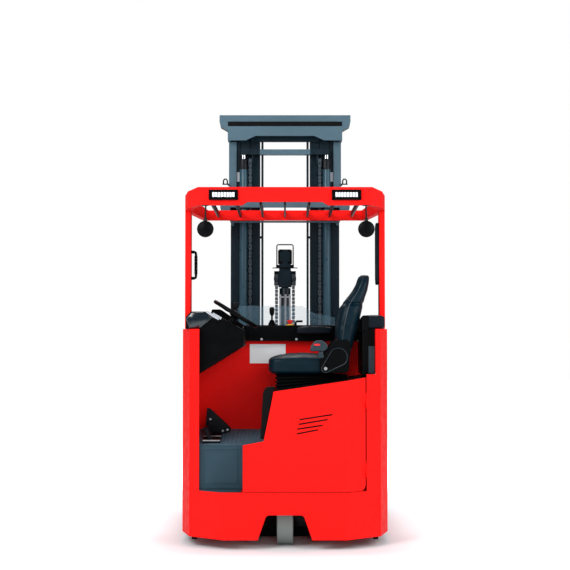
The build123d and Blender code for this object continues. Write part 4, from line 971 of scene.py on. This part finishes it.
def rail_and_plate(name, half_width, low_z):
    """Rail paint, with plate paint behind the rails, within a half width and over a height."""
    made = finish(name, rail_dark, 0.4, patch=0.14, grain=650, relief=0.08, specular=0.25)
    tree = made.node_tree
    shader = tree.nodes["Principled BSDF"]
    rails = shader.inputs["Base Color"].links[0].from_socket
    place = tree.nodes.new("ShaderNodeTexCoord")
    axes = split_axes(tree, place)
    behind = sum_node(tree, axes["Y"], "LESS_THAN", rear + rails_start)
    inside = sum_node(tree, sum_node(tree, axes["X"], "ABSOLUTE"), "LESS_THAN", half_width)
    above = sum_node(tree, axes["Z"], "GREATER_THAN", low_z)
    share = sum_node(tree, sum_node(tree, behind, "MULTIPLY", inside), "MULTIPLY", above)
    coats = tree.nodes.new("ShaderNodeMix")
    coats.data_type = "RGBA"
    tree.links.new(share, coats.inputs["Factor"])
    tree.links.new(rails, coats.inputs["A"])
    clouds = spread(tree, grain_noise(tree, place, patches, 4.0), 0.0, 1.0)
    plates = two_tone(tree, clouds, shade(plate_blue, 0.94), shade(plate_blue, 1.06))
    tree.links.new(plates, coats.inputs["B"])
    tree.links.new(coats.outputs["Result"], shader.inputs["Base Color"])
    return made


dress(["outer_mast"], rail_and_plate("outer mast paint", 1.0, 0.0), 2.0)
dress(["middle_mast"], rail_and_plate("middle mast paint", 0.168, 2.4), 2.0)
dress(["reach_carriage", "inner_mast", "crosshead"], rail_paint, 2.0)

# Mast fittings: a black rubber strip across the head as painted shade under its top plate, two lifting
# loops of bent rod, a blank plate on each cheek, and the plastic slides that keep the stages apart.
mast_head_half, loop_depth, loop_low, plate_z = 382, 984, 2281, (2305, 2368)
loop_line = [(385, 0), (385, 21), (392, 31), (404, 31), (411, 21), (411, 0)]
mesh = bmesh.new()
# Painted shade: a black strip where the gap under the head's top plate is in shadow.
add_box(mesh, (-mast_head_half, mast_head_half), (979, 993), (2667.6, 2697.6))
put("mast_head_shade_strip", mesh, rubber, "mast_foot", 0.5)
mesh = bmesh.new()
for side in (1, -1):
    add_pipe(mesh, [spot(side * x, loop_depth, loop_low + lift) for x, lift in loop_line], 5, 12)
    add_box(mesh, sorted((side * 378, side * 418)), (978, 990), (loop_low - 7, loop_low + 1))
    add_box(mesh, sorted((side * 372, side * 384)), (978, 1066), (loop_low - 7, loop_low + 1))
put("mast_lifting_loops", mesh, rail_paint, "mast_foot", 0.8)
mesh = bmesh.new()
for side in (1, -1):
    add_box(mesh, sorted((side * 304, side * 325)), (1064.5, 1066), plate_z)
put("mast_number_plates", mesh, pale_trim, "mast_foot", 0.4)
slide_thick = 5
for stage, slide_x, slide_z in (("middle_mast", 297.2, (300, 2650)), ("inner_mast", 230.2, (320, 2660))):
    mesh = bmesh.new()
    for side in (1, -1):
        add_box(mesh, sorted((side * slide_x, side * (slide_x + slide_thick))), (1068, 1078), slide_z)
    put(f"{stage}_slides", mesh, rubber, nodes[stage]["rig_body"])

# Lift cylinders and rods: steel barrels in a dark blue-grey paint of their own, with a gland
# screwed into each head. Their rods and the reach cylinder's rod are hard chromed.
chrome = finish("hard chrome", tint(172, 176, 180), 0.14, metal=1.0, patch=0.02, grain=2000, relief=0.01)
barrel_paint = finish("barrel paint", tint(44, 72, 84), 0.32, patch=0.1, grain=650, relief=0.06,
                      specular=0.35)
dress(["lift_cylinders"], barrel_paint, 1.0)
dress(["lift_rods", "reach_rod"], chrome, 0)
gland_profile = [(0, 28), (2, 31), (62, 31), (66, 29), (70, 28), (70.5, 19), (70.5, 18.7)]
mesh = bmesh.new()
for side in (1, -1):
    add_turned(mesh, gland_profile, spot(side * 278, 1031, 2381), up, 40)
put("lift_cylinder_glands", mesh, dark_paint, "mast_foot")

# Lift chains: leaf chain, five plates a link on hardened pins, oiled and nearly black. Each
# chain rises on one side of its sheave, passes over it and comes down on the other.
chain_steel = finish("oiled chain steel", tint(74, 86, 94), 0.4, metal=0.5, patch=0.14, grain=900, relief=0.1)
chain_half, chain_pitch = 11, 25.4


def add_leaf_chain(mesh, x, depth, span, thick):
    """A straight run of leaf chain at x and depth, over a span of z."""
    links = int((span[1] - span[0]) / chain_pitch)
    plate_thick = 2 * chain_half / 6
    for link in range(links):
        start = span[0] + link * chain_pitch
        for plate in range(link % 2, 5, 2):
            plate_x = x - chain_half + (plate + 0.5) * plate_thick
            outline = []
            for end_z, turn in ((start + chain_pitch * 1.05, 0), (start - chain_pitch * 0.05, pi)):
                for step in range(4):
                    angle = turn + pi * step / 3
                    outline.append((depth + thick / 2 * cos(angle), end_z + thick / 2 * 0.9 * sin(angle)))
            add_loft(mesh, [[spot(face_x, plate_depth, z) for plate_depth, z in outline]
                            for face_x in (plate_x, plate_x + plate_thick * 0.9)])
        add_rod(mesh, spot(x - chain_half, depth, start), spot(x + chain_half, depth, start), thick * 0.22, 8)


def add_chain_bend(mesh, x, depth, z, bend, link_radius):
    """The pins of a chain that passes over its sheave, whose middle is at depth and z."""
    for step in range(12):
        angle = pi * (step + 0.5) / 12
        middle = spot(x, depth - bend * cos(angle), z + bend * sin(angle))
        half = across * chain_half / 1000
        add_rod(mesh, middle - half, middle + half, link_radius, 10)


main_depth, main_top, main_bend = 1031, 2432, 21.5
free_depth, free_top, free_bend = 1120, 1652, 41
mesh = bmesh.new()
for side in (1, -1):
    for strand in (-1, 1):
        add_leaf_chain(mesh, side * 233, main_depth + strand * main_bend, (272, main_top), 9)
    add_chain_bend(mesh, side * 233, main_depth, main_top, main_bend, 4.4)
put("main_chain_links", mesh, chain_steel, nodes["main_chains"]["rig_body"],
    stands_for=("main_chains",))
mesh = bmesh.new()
for side in (1, -1):
    for strand, foot_z in ((-1, 174), (1, 522)):
        add_leaf_chain(mesh, side * 57, free_depth + strand * free_bend, (foot_z, free_top), 10)
    add_chain_bend(mesh, side * 57, free_depth, free_top, free_bend, 5)
put("free_chain_links", mesh, chain_steel, nodes["free_chains"]["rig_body"],
    stands_for=("free_chains",))

# Crosshead guard: bent wire hoop and a thin keeper bar that hold the chains on their sheaves,
# with cheek plates over the sheaves and across them, and four bolts between.
hoop_depth, hoop_half, hoop_top, keeper_z = 1084, 55, 1880, 1720
hoop_side = [(hoop_half, keeper_z + 20), (hoop_half, hoop_top - 12), (hoop_half - 2, hoop_top - 4),
             (hoop_half - 9, hoop_top)]
hoop = [(-x, z) for x, z in hoop_side] + hoop_side[::-1]
mesh = bmesh.new()
add_pipe(mesh, [spot(x, hoop_depth, z) for x, z in hoop], 4, 12)
add_box(mesh, (-84, 84), (1080, 1088), (keeper_z, keeper_z + 6))
for side in (1, -1):
    add_box(mesh, sorted((side * 40, side * 60)), (1080, 1090), (keeper_z + 6, keeper_z + 24))
    pin_face = spot(side * 68, free_depth, free_top)
    add_turned(mesh, [(0, 16), (5, 16), (7, 12), (7.5, 1)], pin_face, across * side, 24)
for side in (1, -1):
    add_box(mesh, sorted((side * 34, side * 47)), (1088, 1150), (1752, 1843))
    add_box(mesh, sorted((side * 42, side * 73)), (1086, 1092), (1604, 1702))
for bolt_z in (1760, 1840):
    for bolt_x in (-26, 26):
        add_bolt(mesh, spot(bolt_x, 1090, bolt_z), -forward, 6, 6)
put("crosshead_hoop", mesh, black_plastic, nodes["crosshead"]["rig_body"], 0.6)

# Pressure pipes of the free lift: three plated tubes clipped along the barrel, from its foot
# to its head, that feed the cylinder from the inner mast's tie.
pipe_zinc = finish("zinc plated pipe", tint(150, 158, 164), 0.4, metal=0.25, patch=0.08, grain=700,
                   relief=0.05)
pipe_z, clip_heights = (170, 1545), (300, 760, 1220, 1520)
mesh = bmesh.new()
for side in (1, -1):
    add_rod(mesh, spot(side * 31, 1087, pipe_z[0]), spot(side * 31, 1087, pipe_z[1]), 6, 16)
    for clip_z in clip_heights:
        add_box(mesh, sorted((side * 22, side * 40)), (1080, 1098), (clip_z, clip_z + 14))
add_rod(mesh, spot(3, 1079, pipe_z[0]), spot(3, 1079, pipe_z[1]), 7, 16)
for clip_z in clip_heights:
    add_box(mesh, (-24, 24), (1078, 1084), (clip_z + 2, clip_z + 12))
put("free_lift_pipes", mesh, pipe_zinc, nodes["inner_mast"]["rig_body"], 0.6)

# Carriage, side shifter and fork frame: flame-cut plate, welded and painted black.
# The shifter hangs on the carriage's top edge, and the fork frame on the shifter's pins.
black_paint = finish("black satin paint", tint(15, 18, 21), 0.4, patch=0.1, grain=700, relief=0.1)
dress(["lift_carriage", "side_shifter", "fork_frame"], black_paint, 2.0)

# Fasteners at the front: the bolts that hold the mast to its foot, and the spring latches that
# lock the forks on their bar.
mast_front, foot_bolt_x, fork_x = 1201, 414, 240
mesh = bmesh.new()
for side in (1, -1):
    for bolt_z in range(140, 301, 40):
        add_bolt(mesh, spot(side * foot_bolt_x, mast_front, bolt_z), forward, 9, 8)
put("mast_foot_bolts", mesh, bright_steel, "mast_foot", 0.6)
bar_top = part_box("fork_frame")[1].z * 1000
mesh = bmesh.new()
for side in (1, -1):
    add_rod(mesh, spot(side * fork_x, 1276, bar_top), spot(side * fork_x, 1276, bar_top + 16), 9, 20)
    grip_span = (side * fork_x - 24, side * fork_x + 24)
    add_box(mesh, grip_span, (1271, 1281), (bar_top + 12, bar_top + 20))
put("fork_latches", mesh, bright_steel, nodes["fork_frame"]["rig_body"], 1.0)

# Forks: forged and tapered steel, its black paint worn down to a dull sheen. They hook over
# the fork frame's upper bar.
fork_steel = finish("fork steel", tint(48, 50, 54), 0.38, metal=0.4, patch=0.16, grain=500, relief=0.14)
dress(["fork_right", "fork_left"], fork_steel, 2.5)

# Studio: pale floor and backdrop, broad soft lights at the sides, one by the camera and one
# beyond the forks. What mirrors see of it is darker, so that blacks stay black.
# Painted shadow: the floor's glow for the camera is zero over the truck's plan and grows to full away from
# it.
truck_half, truck_middle, truck_reach = 0.62, 0.3, 1.5
painted_shadow_fade, glow_full = 0.8, 0.7
floor_shade = bpy.data.materials.new("studio floor")
floor_shade.use_nodes = True
tree = floor_shade.node_tree
shader = tree.nodes["Principled BSDF"]
shader.inputs["Base Color"].default_value = (0.85, 0.88, 0.89, 1)
shader.inputs["Roughness"].default_value = 0.8
shader.inputs["Specular IOR Level"].default_value = 0.1
# Painted shadow: this glow fades to nothing near and under the truck, so the floor there is darker.
glow = tree.nodes.new("ShaderNodeEmission")
place = tree.nodes.new("ShaderNodeTexCoord")
axes = split_axes(tree, place)
past_side = sum_node(tree, sum_node(tree, axes["X"], "ABSOLUTE"), "SUBTRACT", truck_half)
from_middle = sum_node(tree, sum_node(tree, axes["Y"], "SUBTRACT", truck_middle), "ABSOLUTE")
past_end = sum_node(tree, from_middle, "SUBTRACT", truck_reach)
beside, beyond = sum_node(tree, past_side, "MAXIMUM", 0.0), sum_node(tree, past_end, "MAXIMUM", 0.0)
away = sum_node(tree, beside, "ADD", beyond)
fade = tree.nodes.new("ShaderNodeMapRange")
fade.interpolation_type = "SMOOTHSTEP"
for socket, value in (("From Min", 0.0), ("From Max", painted_shadow_fade), ("To Min", 0.0), ("To Max", glow_full)):
    fade.inputs[socket].default_value = value
tree.links.new(away, fade.inputs["Value"])
tree.links.new(fade.outputs["Result"], glow.inputs["Strength"])
rays = tree.nodes.new("ShaderNodeLightPath")
only_seen = tree.nodes.new("ShaderNodeMixShader")
dark = tree.nodes.new("ShaderNodeEmission")
dark.inputs["Strength"].default_value = 0.0
tree.links.new(rays.outputs["Is Camera Ray"], only_seen.inputs["Fac"])
tree.links.new(dark.outputs["Emission"], only_seen.inputs[1])
tree.links.new(glow.outputs["Emission"], only_seen.inputs[2])
both = tree.nodes.new("ShaderNodeAddShader")
tree.links.new(shader.outputs["BSDF"], both.inputs[0])
tree.links.new(only_seen.outputs["Shader"], both.inputs[1])
tree.links.new(both.outputs["Shader"], tree.nodes["Material Output"].inputs["Surface"])
bpy.ops.mesh.primitive_plane_add(size=60)
studio_floor = bpy.context.object
studio_floor.name = "studio_floor"
studio_floor.data.materials.append(floor_shade)

world = bpy.data.worlds.new("studio")
bpy.context.scene.world = world
world.use_nodes = True
tree = world.node_tree


def sky_light(made, colour, strength):
    """Sets a background's colour and strength, and returns what it gives."""
    made.inputs["Color"].default_value = (*colour, 1)
    made.inputs["Strength"].default_value = strength
    return made.outputs["Background"]


def choose(tree, asked, other, wanted):
    """The wanted light for rays of the kind that is asked for, and the other light for the rest."""
    made = tree.nodes.new("ShaderNodeMixShader")
    tree.links.new(asked, made.inputs["Fac"])
    tree.links.new(other, made.inputs[1])
    tree.links.new(wanted, made.inputs[2])
    return made.outputs["Shader"]


rays = tree.nodes.new("ShaderNodeLightPath")
sky = sky_light(tree.nodes["Background"], (0.94, 0.96, 1.0), 0.55)
mirrored_sky = sky_light(tree.nodes.new("ShaderNodeBackground"), (0.8, 0.9, 1.0), 0.16)
backdrop = sky_light(tree.nodes.new("ShaderNodeBackground"), (1, 1, 1), 1.0)
lit = choose(tree, rays.outputs["Is Glossy Ray"], sky, mirrored_sky)
seen = choose(tree, rays.outputs["Is Camera Ray"], lit, backdrop)
tree.links.new(seen, tree.nodes["World Output"].inputs["Surface"])

lamps = [
    # place, size and power of each soft box, and whether shiny surfaces mirror it
    ((-3.5, -5.0, 4.5), 3.0, 240, True),
    ((4.0, -4.0, 3.5), 3.0, 140, True),
    ((0.0, 3.5, 5.5), 4.0, 200, True),
    ((0.6, -9.0, 2.2), 3.0, 130, False),
]
lamp_target = Vector((0, -0.2, 1.2))
for index, (place, size, power, mirrored) in enumerate(lamps):
    light = bpy.data.lights.new(f"soft_box_{index}", "AREA")
    light.size = size
    light.energy = power
    lamp = bpy.data.objects.new(f"soft_box_{index}", light)
    lamp.location = place
    lamp.visible_glossy = mirrored
    lamp.rotation_euler = (lamp_target - Vector(place)).to_track_quat("-Z", "Y").to_euler()
    bpy.context.scene.collection.objects.link(lamp)

# Camera: level with the driver's seat, straight behind the truck and well back, tipped up a
# little so that the mast's head comes into the picture.
camera_back, camera_height, camera_tip = 9.4, 1.265, 2.117
camera_data = bpy.data.cameras.new("camera")
camera_data.lens = 87.16
camera = bpy.data.objects.new("camera", camera_data)
camera.location = (0, -camera_back, camera_height)
camera.rotation_euler = (radians(90 + camera_tip), 0, 0)
bpy.context.scene.collection.objects.link(camera)
bpy.context.scene.camera = camera
bpy.context.scene.view_settings.view_transform = "Standard"

bpy.context.view_layer.update()
